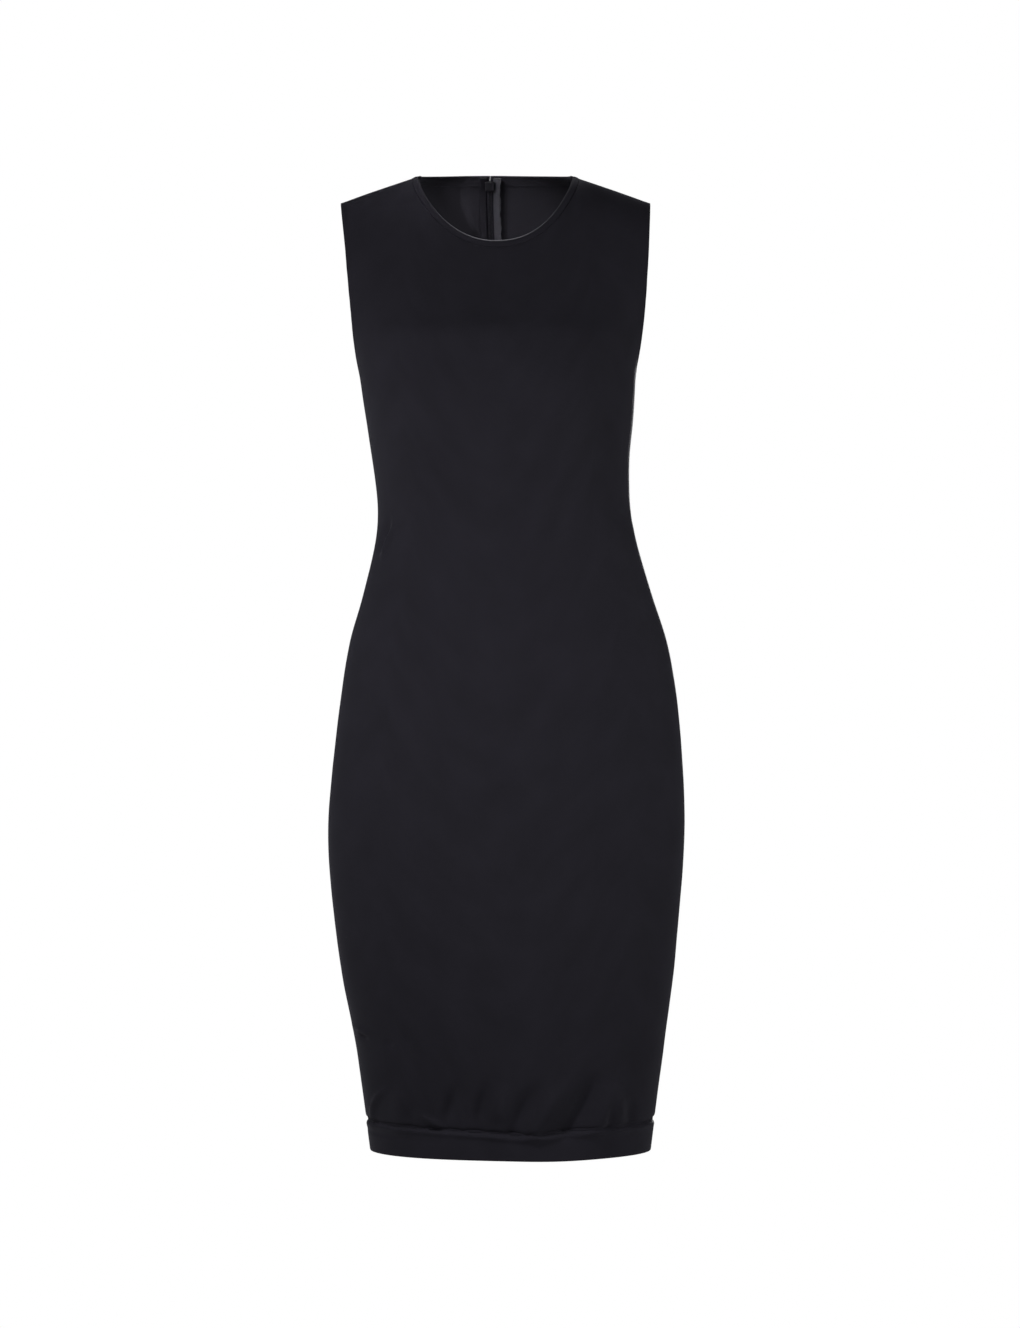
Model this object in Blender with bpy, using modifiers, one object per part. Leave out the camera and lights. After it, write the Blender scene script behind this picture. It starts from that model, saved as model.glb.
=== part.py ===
"""Sleeveless bodycon dress in black stretch knit, hollow and filled out as it is worn.

Metres, +Z up. The front faces -Y and +X is the wearer's left. The origin lies midway
between the two shoulder seams, at the middle of their height, where the shoulders of
the wearer carry the dress.

Every piece of cloth is a wall on one skin. The skin is a stack of rounded sections,
each named by its drop: the height below the neck point, where the shoulder seam meets
the neck edge. A place on a section is named by across, the distance from its middle.
"""

import math
from collections import namedtuple

import bmesh
import bpy
from mathutils import Matrix, Vector

FRONT = -1
BACK = 1

# Shoulders and neck
NECK_HALF = 0.0775  # from the middle to the neck point
NECK_DEPTH = 0.0680  # drop of the front neck edge at its middle
BACK_NECK_RISE = 0.0030  # height of the back neck edge above the neck point
NECK_ROUND = 2.2
NECK_FALL = 0.75
TIP_HALF = 0.1545  # from the middle to the shoulder tip
TIP_DROP = 0.0268
SHOULDER_CROWN = 0.08  # fullness of the shoulder seam
NECK_Z = TIP_DROP / 2  # puts the origin at the middle height of the shoulder seams

# Armholes
UNDERARM_DROP = 0.1950
ARMHOLE_REACH = {FRONT: 0.050, BACK: 0.046}  # from the shoulder line, seen from the side
ARMHOLE_TOP_POWER = 0.42  # squareness of the armhole at the shoulder, then at the underarm
ARMHOLE_END_POWER = 0.53
ARMHOLE_PULL = 8  # keeps the curve of the armhole out of the middle columns

# Bust, shaped in the cut of the front
CUP_ACROSS = 0.086
CUP_DROP = 0.232
CUP_WIDTH = 0.045
CUP_HEIGHT = 0.065
CUP_DEPTH = 0.009

# Hem
HEM_SEAM_DROP = 0.9455
HEM_DROP = 0.9725
HEM_LIFT = 0.0022  # rise of the hem at the side seams

# Cloth
GAP = 0.0003  # between two pieces at a seam
WALL = 0.0016
BINDING_HEIGHT = 0.0060
BINDING_PROUD = 0.0004
BINDING_INSIDE = 0.0020
BAND_PROUD = 0.0003
BAND_INSIDE = 0.0023

# Mesh of the cloth
HALF_COLUMNS = (0.1, 0.2, 0.3, 0.4, 0.46, 0.5, 0.6, 0.7, 0.8, 0.9, 1.0)
NECK_POINT_COLUMN = 0.5
YOKE_ROWS = 12
SKIRT_ROWS = 20
PUCKER_ROWS = 4
PUCKER_TOP_DROP = 0.8850
BAND_ROWS = 3
NORMAL_STEP = 0.0001
SHARP_ANGLE = math.radians(40)

# Zip at the centre back
ZIP_COLUMN = -0.0225
ZIP_FACET = 0.055  # width of the column beside the zip, which carries a tape
ZIP_END_ROW = 11
TAPE_INNER = 0.0034
TAPE_OUTER = 0.0106
TAPE_THICK = 0.0010
TAPE_TOP = 0.0015
COIL_HALF = 0.0031
COIL_THICK = 0.0022
COIL_FIRST_ROW = 3  # of the zip's rows, the first one under the slider
SLIDER_DROP = 0.0035
SLIDER_LENGTH = 0.0095
SLIDER_WIDTH = 0.0090
SLIDER_THICK = 0.0030
SLIDER_BEVEL = 0.0009
BRIDGE_WIDTH = 0.0014
BRIDGE_LENGTH = 0.0052
NOTCH_REACH = 0.0069  # to each side of the skin, past every layer of cloth
CROWN_WIDTH = 0.0044
CROWN_LENGTH = 0.0084
CROWN_THICK = 0.0011
CROWN_PROUD = 0.0008
BAIL_WIDTH = 0.0014
BAIL_WALL = 0.0012
BAIL_WINDOW = 0.0044
BAIL_REACH = 0.0024
TAB_THICK = 0.0012
TAB_BAR = 0.0014
TAB_EYE_HALF = 0.0012
TAB_EYE_LENGTH = 0.0047
TAB_TOP_HALF = 0.0024
TAB_END_HALF = 0.0034
TAB_LENGTH = 0.0240
TAB_LEAN = math.radians(3.0)  # towards the cloth that it rests on

Outline = namedtuple("Outline", "drop half_width shift")
# The dress seen from the front, with how far its middle lies towards the wearer's left.
# Above the underarm the half width is that of the armhole edges.
OUTLINES = (
    Outline(0.0268, 0.1545, 0.0000),
    Outline(0.0780, 0.1504, 0.0016),
    Outline(0.1380, 0.1459, 0.0024),
    Outline(0.1780, 0.1412, 0.0021),
    Outline(0.1950, 0.1385, 0.0022),
    Outline(0.2380, 0.1340, 0.0040),
    Outline(0.2830, 0.1285, 0.0055),
    Outline(0.3280, 0.1262, 0.0082),
    Outline(0.3630, 0.1302, 0.0104),
    Outline(0.4180, 0.1445, 0.0120),
    Outline(0.4680, 0.1593, 0.0130),
    Outline(0.5280, 0.1688, 0.0132),
    Outline(0.5980, 0.1757, 0.0122),
    Outline(0.6580, 0.1783, 0.0108),
    Outline(0.7280, 0.1735, 0.0108),
    Outline(0.7980, 0.1655, 0.0122),
    Outline(0.8680, 0.1540, 0.0145),
    Outline(0.9280, 0.1458, 0.0148),
    Outline(0.9725, 0.1400, 0.0150),
)

Depth = namedtuple("Depth", "drop front back front_power back_power")
# The dress seen from the side: how far its middle reaches forward and back from the
# seams, and how square its sections are. A power of 2 is an ellipse.
DEPTHS = (
    Depth(-0.0120, 0.0260, 0.0490, 2.30, 2.40),
    Depth(0.0280, 0.0420, 0.0610, 2.30, 2.40),
    Depth(0.0680, 0.0600, 0.0750, 2.30, 2.50),
    Depth(0.1150, 0.0835, 0.0907, 2.39, 2.59),
    Depth(0.1580, 0.1065, 0.0985, 2.54, 2.61),
    Depth(0.1820, 0.1150, 0.1001, 2.62, 2.59),
    Depth(0.2350, 0.1190, 0.0970, 2.75, 2.50),
    Depth(0.2850, 0.1090, 0.0840, 2.50, 2.30),
    Depth(0.3400, 0.0930, 0.0730, 2.30, 2.20),
    Depth(0.4000, 0.0930, 0.0870, 2.20, 2.20),
    Depth(0.4700, 0.0980, 0.1090, 2.20, 2.20),
    Depth(0.5500, 0.1010, 0.1220, 2.20, 2.20),
    Depth(0.6400, 0.1010, 0.1160, 2.20, 2.20),
    Depth(0.7400, 0.1020, 0.1060, 2.10, 2.10),
    Depth(0.8500, 0.1060, 0.1010, 2.05, 2.05),
    Depth(0.9725, 0.1100, 0.1020, 2.00, 2.00),
)

Fold = namedtuple("Fold", "side across drop to_across to_drop width height")
# The largest folds, each from one end to the other. A negative height is a trough.
FOLDS = (
    Fold(FRONT, 0.092, 0.868, 0.048, 0.945, 0.011, -0.0022),
    Fold(FRONT, 0.104, 0.885, 0.068, 0.945, 0.012, 0.0016),
    Fold(FRONT, 0.030, 0.900, 0.004, 0.945, 0.012, 0.0014),
    Fold(FRONT, -0.066, 0.895, -0.082, 0.940, 0.012, -0.0014),
    Fold(FRONT, -0.122, 0.905, -0.128, 0.945, 0.012, 0.0014),
    Fold(BACK, 0.070, 0.880, 0.046, 0.945, 0.012, -0.0020),
    Fold(BACK, -0.060, 0.870, -0.030, 0.945, 0.012, -0.0016),
    Fold(BACK, 0.000, 0.328, 0.100, 0.345, 0.014, -0.0020),
    Fold(BACK, -0.100, 0.345, 0.000, 0.328, 0.014, -0.0020),
    Fold(FRONT, -0.126, 0.340, -0.090, 0.352, 0.012, -0.0016),
)

Finish = namedtuple("Finish", "colour roughness metallic")
KNIT = Finish((0.014, 0.013, 0.016), 0.90, 0.0)
TAPE = Finish((0.020, 0.020, 0.024), 0.85, 0.0)
NYLON = Finish((0.012, 0.012, 0.014), 0.45, 0.0)
ENAMEL = Finish((0.015, 0.015, 0.017), 0.35, 0.6)

Spot = namedtuple("Spot", "point normal")


# --- the skin ---------------------------------------------------------------------------


def smooth(rows, column, drop):
    """A column's value at a drop, on a smooth curve through the rows of its table."""
    last = len(rows) - 1
    above = next((i for i in range(last) if drop < rows[i + 1].drop), last - 1)
    values = [getattr(row, column) for row in rows]
    drops = [row.drop for row in rows]

    def slope(i):
        before, after = max(i - 1, 0), min(i + 1, last)
        return (values[after] - values[before]) / (drops[after] - drops[before])

    span = drops[above + 1] - drops[above]
    t = (drop - drops[above]) / span
    from_above = values[above] * (1 + 2 * t) + span * t * slope(above)
    from_below = values[above + 1] * (3 - 2 * t) - span * (1 - t) * slope(above + 1)
    return from_above * (1 - t) ** 2 + from_below * t**2


def shoulder_drop(across):
    """Drop of the shoulder seam at a distance from the middle."""
    t = (abs(across) - NECK_HALF) / (TIP_HALF - NECK_HALF)
    return TIP_DROP * t * (1 - SHOULDER_CROWN * (1 - t))


def shoulder_half(drop):
    """Distance of the shoulder seam from the middle, at a drop."""
    straight = 1 - SHOULDER_CROWN
    root = math.sqrt(straight**2 + 4 * SHOULDER_CROWN * drop / TIP_DROP)
    return NECK_HALF + (TIP_HALF - NECK_HALF) * (root - straight) / (2 * SHOULDER_CROWN)


def power(side, drop):
    return smooth(DEPTHS, "front_power" if side == FRONT else "back_power", drop)


def depth(side, across, drop):
    """How far the skin's sections reach forward or back, with the cups of the bust."""
    if side == BACK:
        return smooth(DEPTHS, "back", drop)
    beside = (abs(across) - CUP_ACROSS) / CUP_WIDTH
    above = (drop - CUP_DROP) / CUP_HEIGHT
    return smooth(DEPTHS, "front", drop) + CUP_DEPTH * math.exp(-(beside**2) - above**2)


def closing_half(side, drop):
    """Half width of a section's whole oval, which an armhole cuts short."""
    if drop <= TIP_DROP:
        return shoulder_half(drop)
    edge = smooth(OUTLINES, "half_width", drop)
    if drop >= UNDERARM_DROP:
        return edge
    t = (drop - TIP_DROP) / (UNDERARM_DROP - TIP_DROP)
    squareness = ARMHOLE_TOP_POWER + (ARMHOLE_END_POWER - ARMHOLE_TOP_POWER) * t
    reach = ARMHOLE_REACH[side] * (4 * t * (1 - t)) ** squareness
    n = power(side, drop)
    middle = smooth(DEPTHS, "front" if side == FRONT else "back", drop)
    return edge / (1 - (reach / middle) ** n) ** (1 / n)


def shift(drop):
    return smooth(OUTLINES, "shift", max(drop, TIP_DROP))


def oval(side, point):
    """1 on the skin, less inside it and more outside."""
    drop = NECK_Z - point.z
    across = point.x - shift(drop)
    n = power(side, drop)
    wide = abs(across) / closing_half(side, drop)
    deep = abs(point.y) / depth(side, across, drop)
    return wide**n + deep**n


def skin(side, across, drop):
    """The spot on the smooth skin: its point and its outward normal."""
    n = power(side, drop)
    wide = min(abs(across) / closing_half(side, drop), 1.0)
    y = side * depth(side, across, drop) * (1 - wide**n) ** (1 / n)
    point = Vector((shift(drop) + across, y, NECK_Z - drop))
    ways = [Vector(way) * NORMAL_STEP for way in ((1, 0, 0), (0, 1, 0), (0, 0, 1))]
    normal = Vector([oval(side, point + w) - oval(side, point - w) for w in ways])
    return Spot(point, normal.normalized())


def fold_height(side, across, drop):
    """How far the folds lift the cloth off the skin."""
    height = 0.0
    for fold in FOLDS:
        if fold.side != side:
            continue
        start = Vector((fold.across, fold.drop))
        run = Vector((fold.to_across, fold.to_drop)) - start
        t = (Vector((across, drop)) - start).dot(run) / run.length_squared
        beside = (Vector((across, drop)) - start - run * t).length / fold.width
        past = max(0.0, -t, t - 1) * run.length / fold.width
        height += fold.height * math.exp(-(beside**2) - past**2)
    return height


# --- columns and rows of the cloth ---------------------------------------------------------


def neckline(side, turn, inset):
    """Across and drop on the neck edge, or inset outside it.

    turn is 0 at the middle and 1 or -1 at the neck points."""
    half = NECK_HALF + inset
    sine = math.sin(turn * math.pi / 2)
    end = shoulder_drop(half)
    middle = inset + (NECK_DEPTH if side == FRONT else -BACK_NECK_RISE)
    round_ = (1 - abs(sine) ** NECK_ROUND) ** NECK_FALL
    return half * sine, end + (middle - end) * round_


def top_edge(side, column):
    """Across and drop of a panel's top: the neck binding's seam, then the shoulder seam."""
    if abs(column) <= NECK_POINT_COLUMN:
        return neckline(side, column / NECK_POINT_COLUMN, BINDING_HEIGHT + GAP)
    start = NECK_HALF + BINDING_HEIGHT + GAP
    t = (abs(column) - NECK_POINT_COLUMN) / (1 - NECK_POINT_COLUMN)
    across = start + (TIP_HALF - start) * t
    return math.copysign(across, column), shoulder_drop(across)


def ring(column, drop):
    """Across of a column on a closed section."""
    return smooth(OUTLINES, "half_width", drop) * math.sin(column * math.pi / 2)


def yoke(side, column, level):
    """Across and drop above the underarm. level is 0 at the top and 1 at the underarm."""
    top_across, top_drop = top_edge(side, column)
    drop = top_drop + (UNDERARM_DROP - top_drop) * level
    across = top_across + (ring(column, UNDERARM_DROP) - top_across) * level
    straight_level = (drop - TIP_DROP) / (UNDERARM_DROP - TIP_DROP)
    if straight_level <= 0:
        return across, drop
    underarm_half = ring(1.0, UNDERARM_DROP)
    straight = TIP_HALF + (underarm_half - TIP_HALF) * straight_level
    pull = smooth(OUTLINES, "half_width", drop) - straight
    return across + math.copysign(pull * abs(column) ** ARMHOLE_PULL, column), drop


def spaced(start, end, count):
    return [start + (end - start) * i / count for i in range(1, count + 1)]


def eased(count):
    """Levels from 0 to 1, closer together at both ends."""
    return [(1 - math.cos(math.pi * i / count)) / 2 for i in range(count + 1)]


def panel_rows(side, column):
    """(across, drop) down one column, from the panel's top to the hem seam."""
    rows = [yoke(side, column, level) for level in eased(YOKE_ROWS)]
    drops = spaced(UNDERARM_DROP, PUCKER_TOP_DROP, SKIRT_ROWS)
    drops += spaced(PUCKER_TOP_DROP, HEM_SEAM_DROP - GAP / 2, PUCKER_ROWS)
    return rows + [(ring(column, drop), drop) for drop in drops]


def band_rows(side, column):
    """(across, drop) down one column of the hem band."""
    top = HEM_SEAM_DROP + GAP / 2
    drops = [top] + spaced(top, HEM_DROP - HEM_LIFT * abs(column) ** 3, BAND_ROWS)
    return [(ring(column, drop), drop) for drop in drops]


def on_cloth(side, across, drop):
    """The spot on the folded cloth, clear of the seam planes at the sides and shoulders."""
    spot = skin(side, across, drop)
    lifted = spot.point + spot.normal * fold_height(side, across, drop)
    return Spot(lifted + Vector((0, side * GAP / 2, 0)), spot.normal)


def panel_spots(side, columns, rows_of, moved=0.0, at_column=None):
    """Spots for a panel, column by column. One column may be moved aside for a seam."""
    spots = []
    for column in columns:
        sideways = moved if column == at_column else 0.0
        rows = rows_of(side, column)
        spots.append([on_cloth(side, across + sideways, drop) for across, drop in rows])
    return spots


# --- solids ------------------------------------------------------------------------------------


def material(finish_name, finish):
    made = bpy.data.materials.get(finish_name)
    if made:
        return made
    made = bpy.data.materials.new(finish_name)
    made.use_nodes = True
    shader = made.node_tree.nodes["Principled BSDF"]
    shader.inputs["Base Color"].default_value = (*finish.colour, 1.0)
    shader.inputs["Roughness"].default_value = finish.roughness
    shader.inputs["Metallic"].default_value = finish.metallic
    return made


def add_object(name, mesh, collection, finish_name, finish):
    mesh.materials.append(material(finish_name, finish))
    mesh.shade_smooth()
    mesh.set_sharp_from_angle(angle=SHARP_ANGLE)
    made = bpy.data.objects.new(name, mesh)
    collection.objects.link(made)
    return made


def wall(name, spots, outside, inside, collection, finish_name, finish):
    """A closed wall lofted through columns of spots, with its two faces at their offsets.

    Both faces are lofted, so that the edges of the wall stay in the planes of its seams."""
    bm = bmesh.new()
    faces = []
    for offset in (outside, inside):
        places = [[spot.point + spot.normal * offset for spot in line] for line in spots]
        faces.append([[bm.verts.new(place) for place in line] for line in places])
    outer, inner = faces
    last_column, last_row = len(spots) - 1, len(spots[0]) - 1
    for i in range(last_column):
        for j in range(last_row):
            for skin_ in (outer, inner):
                square = (skin_[i][j], skin_[i][j + 1], skin_[i + 1][j + 1], skin_[i + 1][j])
                bm.faces.new(square)
    for i in range(last_column):
        for j in (0, last_row):
            bm.faces.new((outer[i][j], outer[i + 1][j], inner[i + 1][j], inner[i][j]))
    for j in range(last_row):
        for i in (0, last_column):
            bm.faces.new((outer[i][j], outer[i][j + 1], inner[i][j + 1], inner[i][j]))
    bmesh.ops.recalc_face_normals(bm, faces=bm.faces)
    mesh = bpy.data.meshes.new(name)
    bm.to_mesh(mesh)
    bm.free()
    return add_object(name, mesh, collection, finish_name, finish)


def box_mesh(name, low, high):
    bm = bmesh.new()
    bmesh.ops.create_cube(bm, size=1.0)
    low, high = Vector(low), Vector(high)
    for vert in bm.verts:
        vert.co = Vector([low[k] + (high[k] - low[k]) * (vert.co[k] + 0.5) for k in range(3)])
    mesh = bpy.data.meshes.new(name)
    bm.to_mesh(mesh)
    bm.free()
    return mesh


def helper_box(name, low, high, matrix, helpers):
    """A box that cuts or joins, and isn't part of the dress itself."""
    made = bpy.data.objects.new(name, box_mesh(name, low, high))
    made.matrix_world = matrix
    made.hide_render = True
    made.display_type = "WIRE"
    helpers.objects.link(made)
    return made


def boolean(target, operation, other):
    modifier = target.modifiers.new(other.name, "BOOLEAN")
    modifier.operation = operation
    modifier.solver = "EXACT"
    modifier.object = other


# --- the pieces ------------------------------------------------------------------------------


def panel_columns(start, end):
    """Columns of the front from side to side, or of one half of the back."""
    right = [-column for column in reversed(HALF_COLUMNS)]
    columns = right + [0.0] + list(HALF_COLUMNS)
    return [column for column in columns if start <= column <= end]


def right_back_columns():
    beside_zip = ZIP_COLUMN - ZIP_FACET
    return panel_columns(-1, beside_zip) + [beside_zip, ZIP_COLUMN]


def left_back_columns():
    beside_zip = ZIP_COLUMN + ZIP_FACET
    return [ZIP_COLUMN, beside_zip] + panel_columns(beside_zip, 1)


def make_panels(collection):
    """The front, and the two halves of the back that meet at the zip."""
    front = panel_spots(FRONT, panel_columns(-1, 1), panel_rows)
    right = panel_spots(BACK, right_back_columns(), panel_rows, -GAP / 2, ZIP_COLUMN)
    left = panel_spots(BACK, left_back_columns(), panel_rows, GAP / 2, ZIP_COLUMN)
    named = {"front_panel": front, "back_panel_right": right, "back_panel_left": left}
    return {
        name: wall(name, spots, 0.0, -WALL, collection, "knit", KNIT)
        for name, spots in named.items()
    }


def make_hem_bands(collection):
    front = panel_spots(FRONT, panel_columns(-1, 1), band_rows)
    back = panel_spots(BACK, panel_columns(-1, 1), band_rows)
    for name, spots in (("hem_band_front", front), ("hem_band_back", back)):
        wall(name, spots, BAND_PROUD, -BAND_INSIDE, collection, "knit", KNIT)


def binding_stations():
    """(side, turn) round the neck edge, from one end at the zip to the other."""
    between_points = panel_columns(-NECK_POINT_COLUMN, NECK_POINT_COLUMN)[1:-1]
    front = [(FRONT, c / NECK_POINT_COLUMN) for c in between_points]
    zip_turn = ZIP_COLUMN / NECK_POINT_COLUMN
    right = [c for c in right_back_columns() if c >= -NECK_POINT_COLUMN]
    left = [c for c in left_back_columns() if c <= NECK_POINT_COLUMN]
    right_turns = [(BACK, c / NECK_POINT_COLUMN) for c in reversed(right)]
    left_turns = [(BACK, c / NECK_POINT_COLUMN) for c in reversed(left)]
    assert right_turns[0][1] == left_turns[-1][1] == zip_turn
    return right_turns + front + left_turns


def make_neck_binding(collection):
    """A narrow strip round the neck edge, open at the zip."""
    stations = binding_stations()
    insets = [BINDING_HEIGHT * i / 2 for i in range(3)]
    spots = []
    for number, (side, turn) in enumerate(stations):
        sideways = {0: -GAP / 2, len(stations) - 1: GAP / 2}.get(number, 0.0)
        line = []
        for inset in insets:
            across, drop = neckline(side, turn, inset)
            line.append(skin(side, across + sideways, drop))
        spots.append(line)
    return wall(
        "neck_binding", spots, BINDING_PROUD, -BINDING_INSIDE, collection, "knit", KNIT
    )


def zip_rows(side, column):
    """(across, drop) along the zip, from just under the neck edge to its lower end."""
    turn = column / NECK_POINT_COLUMN
    rows = panel_rows(side, column)[: YOKE_ROWS + 1 + ZIP_END_ROW]
    return [neckline(side, turn, TAPE_TOP)] + rows


def beside_zip(distance, first_row=0):
    """Spots of a line that runs down the zip at a distance from its middle."""
    middle = [on_cloth(BACK, *place) for place in zip_rows(BACK, ZIP_COLUMN)]
    aside = ZIP_COLUMN + math.copysign(ZIP_FACET, distance)
    edge = [on_cloth(BACK, *place) for place in zip_rows(BACK, aside)]
    line = []
    for here, there in zip(middle[first_row:], edge[first_row:]):
        across = there.point - here.point
        point = here.point + across * (abs(distance) / across.length)
        line.append(Spot(point, here.normal))
    return line


def make_zip_tapes(collection):
    below = -BINDING_INSIDE - GAP
    for name, way in (("zip_tape_right", -1), ("zip_tape_left", 1)):
        spots = [beside_zip(way * TAPE_INNER), beside_zip(way * TAPE_OUTER)]
        wall(name, spots, below, below - TAPE_THICK, collection, "tape", TAPE)


def make_zip_coil(collection):
    """The closed coil, plain, from just under the slider to the end of the zip."""
    below = -BINDING_INSIDE - GAP
    ends = SLIDER_DROP + SLIDER_LENGTH / 2 + 2 * GAP
    spots = []
    for distance in (-COIL_HALF, 0.0, COIL_HALF):
        line = beside_zip(distance, COIL_FIRST_ROW - 1)
        top, below_top = line[0].point, line[1].point
        t = (NECK_Z - ends - top.z) / (below_top.z - top.z)
        line[0] = Spot(top.lerp(below_top, t), line[0].normal)
        spots.append(line)
    wall("zip_coil", spots, below, below - COIL_THICK, collection, "nylon", NYLON)


def slider_matrix():
    """Place of the slider: +Y out of the cloth and +Z up along it."""
    across = neckline(BACK, ZIP_COLUMN / NECK_POINT_COLUMN, BINDING_HEIGHT)[0]
    spot = skin(BACK, across, SLIDER_DROP)
    tilt = math.atan2(spot.normal.z, spot.normal.y)
    return Matrix.Translation(spot.point) @ Matrix.Rotation(tilt, 4, "X")


def make_slider(collection, helpers, matrix):
    """Body on the inside, crown and bail on the outside, and the bridge between them."""
    body_face = -BINDING_INSIDE - GAP - TAPE_THICK - GAP
    crown_face = CROWN_PROUD + CROWN_THICK
    half = SLIDER_WIDTH / 2, SLIDER_LENGTH / 2
    low, high = (-half[0], body_face - SLIDER_THICK, -half[1]), (half[0], body_face, half[1])
    mesh = box_mesh("zip_slider", low, high)
    slider = add_object("zip_slider", mesh, collection, "enamel", ENAMEL)
    slider.matrix_world = matrix
    bevel = slider.modifiers.new("rounded", "BEVEL")
    bevel.width = SLIDER_BEVEL
    bevel.segments = 2
    joined = {
        "slider_bridge": (
            (-BRIDGE_WIDTH / 2, body_face - SLIDER_THICK / 2, -BRIDGE_LENGTH / 2),
            (BRIDGE_WIDTH / 2, CROWN_PROUD + CROWN_THICK / 2, BRIDGE_LENGTH / 2),
        ),
        "slider_crown": (
            (-CROWN_WIDTH / 2, CROWN_PROUD, -CROWN_LENGTH / 2),
            (CROWN_WIDTH / 2, crown_face, CROWN_LENGTH / 2),
        ),
        "slider_bail": (
            (-BAIL_WIDTH / 2, crown_face - CROWN_THICK / 2, -BAIL_WINDOW / 2 - BAIL_WALL),
            (BAIL_WIDTH / 2, crown_face + BAIL_REACH + BAIL_WALL, BAIL_WINDOW / 2 + BAIL_WALL),
        ),
    }
    for name, (low, high) in joined.items():
        boolean(slider, "UNION", helper_box(name, low, high, matrix, helpers))
    window = helper_box(
        "bail_window",
        (-BAIL_WIDTH, crown_face, -BAIL_WINDOW / 2),
        (BAIL_WIDTH, crown_face + BAIL_REACH, BAIL_WINDOW / 2),
        matrix,
        helpers,
    )
    boolean(slider, "DIFFERENCE", window)


def cut_slider_notch(pieces, helpers, matrix):
    """Opens the centre-back edges where the slider's bridge passes through them."""
    half_width = BRIDGE_WIDTH / 2 + GAP
    half_length = BRIDGE_LENGTH / 2 + GAP
    high = (half_width, NOTCH_REACH, half_length)
    low = [-reach for reach in high]
    notch = helper_box("slider_notch", low, high, matrix, helpers)
    for piece in pieces:
        boolean(piece, "DIFFERENCE", notch)


def tab_outline():
    """Half of the tab's edge, from its top to its tip, as (across, along) from its hinge."""
    top = [
        (TAB_TOP_HALF * math.sin(a), TAB_BAR / 2 - TAB_TOP_HALF * (1 - math.cos(a)) / 2)
        for a in (math.pi / 2 * i / 4 for i in range(5))
    ]
    tip_centre = TAB_END_HALF - TAB_LENGTH
    tip = [
        (TAB_END_HALF * math.cos(a), tip_centre - TAB_END_HALF * math.sin(a))
        for a in (math.pi / 2 * i / 6 for i in range(7))
    ]
    return top + tip


def make_pull_tab(collection, matrix):
    """A flat drop-shaped tab that turns on the bar above its eye, through the bail."""
    curve = bpy.data.curves.new("zip_pull_tab", "CURVE")
    curve.dimensions = "2D"
    curve.fill_mode = "BOTH"
    curve.extrude = TAB_THICK / 2
    half = tab_outline()
    outer = half + [(-across, along) for across, along in reversed(half)][1:-1]
    left, right, top, end = -TAB_EYE_HALF, TAB_EYE_HALF, -TAB_BAR / 2, -TAB_EYE_LENGTH
    eye = [(left, top), (right, top), (right, end), (left, end)]
    for points in (outer, eye):
        spline = curve.splines.new("POLY")
        spline.points.add(len(points) - 1)
        for point, (across, along) in zip(spline.points, points):
            point.co = (across, along, 0.0, 1.0)
        spline.use_cyclic_u = True
    curve.materials.append(material("enamel", ENAMEL))
    tab = bpy.data.objects.new("zip_pull_tab", curve)
    collection.objects.link(tab)
    hinge = Vector((0, CROWN_PROUD + CROWN_THICK + BAIL_REACH / 2, 0))
    upright = Matrix.Rotation(math.pi / 2 - TAB_LEAN, 4, "X")
    tab.matrix_world = matrix @ Matrix.Translation(hinge) @ upright


def main():
    for old in list(bpy.data.objects):
        bpy.data.objects.remove(old)
    collection = bpy.data.collections.new("bodycon_dress")
    helpers = bpy.data.collections.new("cutters")
    for made in (collection, helpers):
        bpy.context.scene.collection.children.link(made)
    panels = make_panels(collection)
    make_hem_bands(collection)
    binding = make_neck_binding(collection)
    make_zip_tapes(collection)
    make_zip_coil(collection)
    matrix = slider_matrix()
    make_slider(collection, helpers, matrix)
    backs = [panels["back_panel_right"], panels["back_panel_left"]]
    cut_slider_notch(backs + [binding], helpers, matrix)
    make_pull_tab(collection, matrix)


if __name__ == "__main__":
    main()
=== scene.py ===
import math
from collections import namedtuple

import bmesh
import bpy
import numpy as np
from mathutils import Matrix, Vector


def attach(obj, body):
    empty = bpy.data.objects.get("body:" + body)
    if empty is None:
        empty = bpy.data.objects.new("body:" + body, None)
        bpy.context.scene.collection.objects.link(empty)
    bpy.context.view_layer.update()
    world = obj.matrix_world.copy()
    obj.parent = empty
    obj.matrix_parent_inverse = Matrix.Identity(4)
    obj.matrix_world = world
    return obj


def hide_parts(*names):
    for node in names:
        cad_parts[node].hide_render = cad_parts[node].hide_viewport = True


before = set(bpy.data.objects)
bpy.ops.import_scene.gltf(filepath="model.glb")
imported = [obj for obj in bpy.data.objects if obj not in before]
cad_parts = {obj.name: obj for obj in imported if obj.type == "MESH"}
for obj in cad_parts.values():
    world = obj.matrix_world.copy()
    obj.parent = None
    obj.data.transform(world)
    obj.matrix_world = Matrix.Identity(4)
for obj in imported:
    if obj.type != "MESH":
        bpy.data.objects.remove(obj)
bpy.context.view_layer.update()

# Sleeveless bodycon dress in black stretch knit, hollow and filled out as it is worn.
#
# Metres, +Z up. The front faces -Y and +X is the wearer's left. Every piece of cloth is a
# wall on one skin, a stack of rounded sections. A section is named by its drop, the height
# below the neck point. A place on it is named by across, the distance from its middle.
# A column runs down the cloth: 0 at the middle, 1 and -1 at the side seams.

FRONT = -1
BACK = 1
MM = 0.001

# A bell-shaped rise: its height, the place of its middle and its width
Rise = namedtuple("Rise", "height at width")

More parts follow.
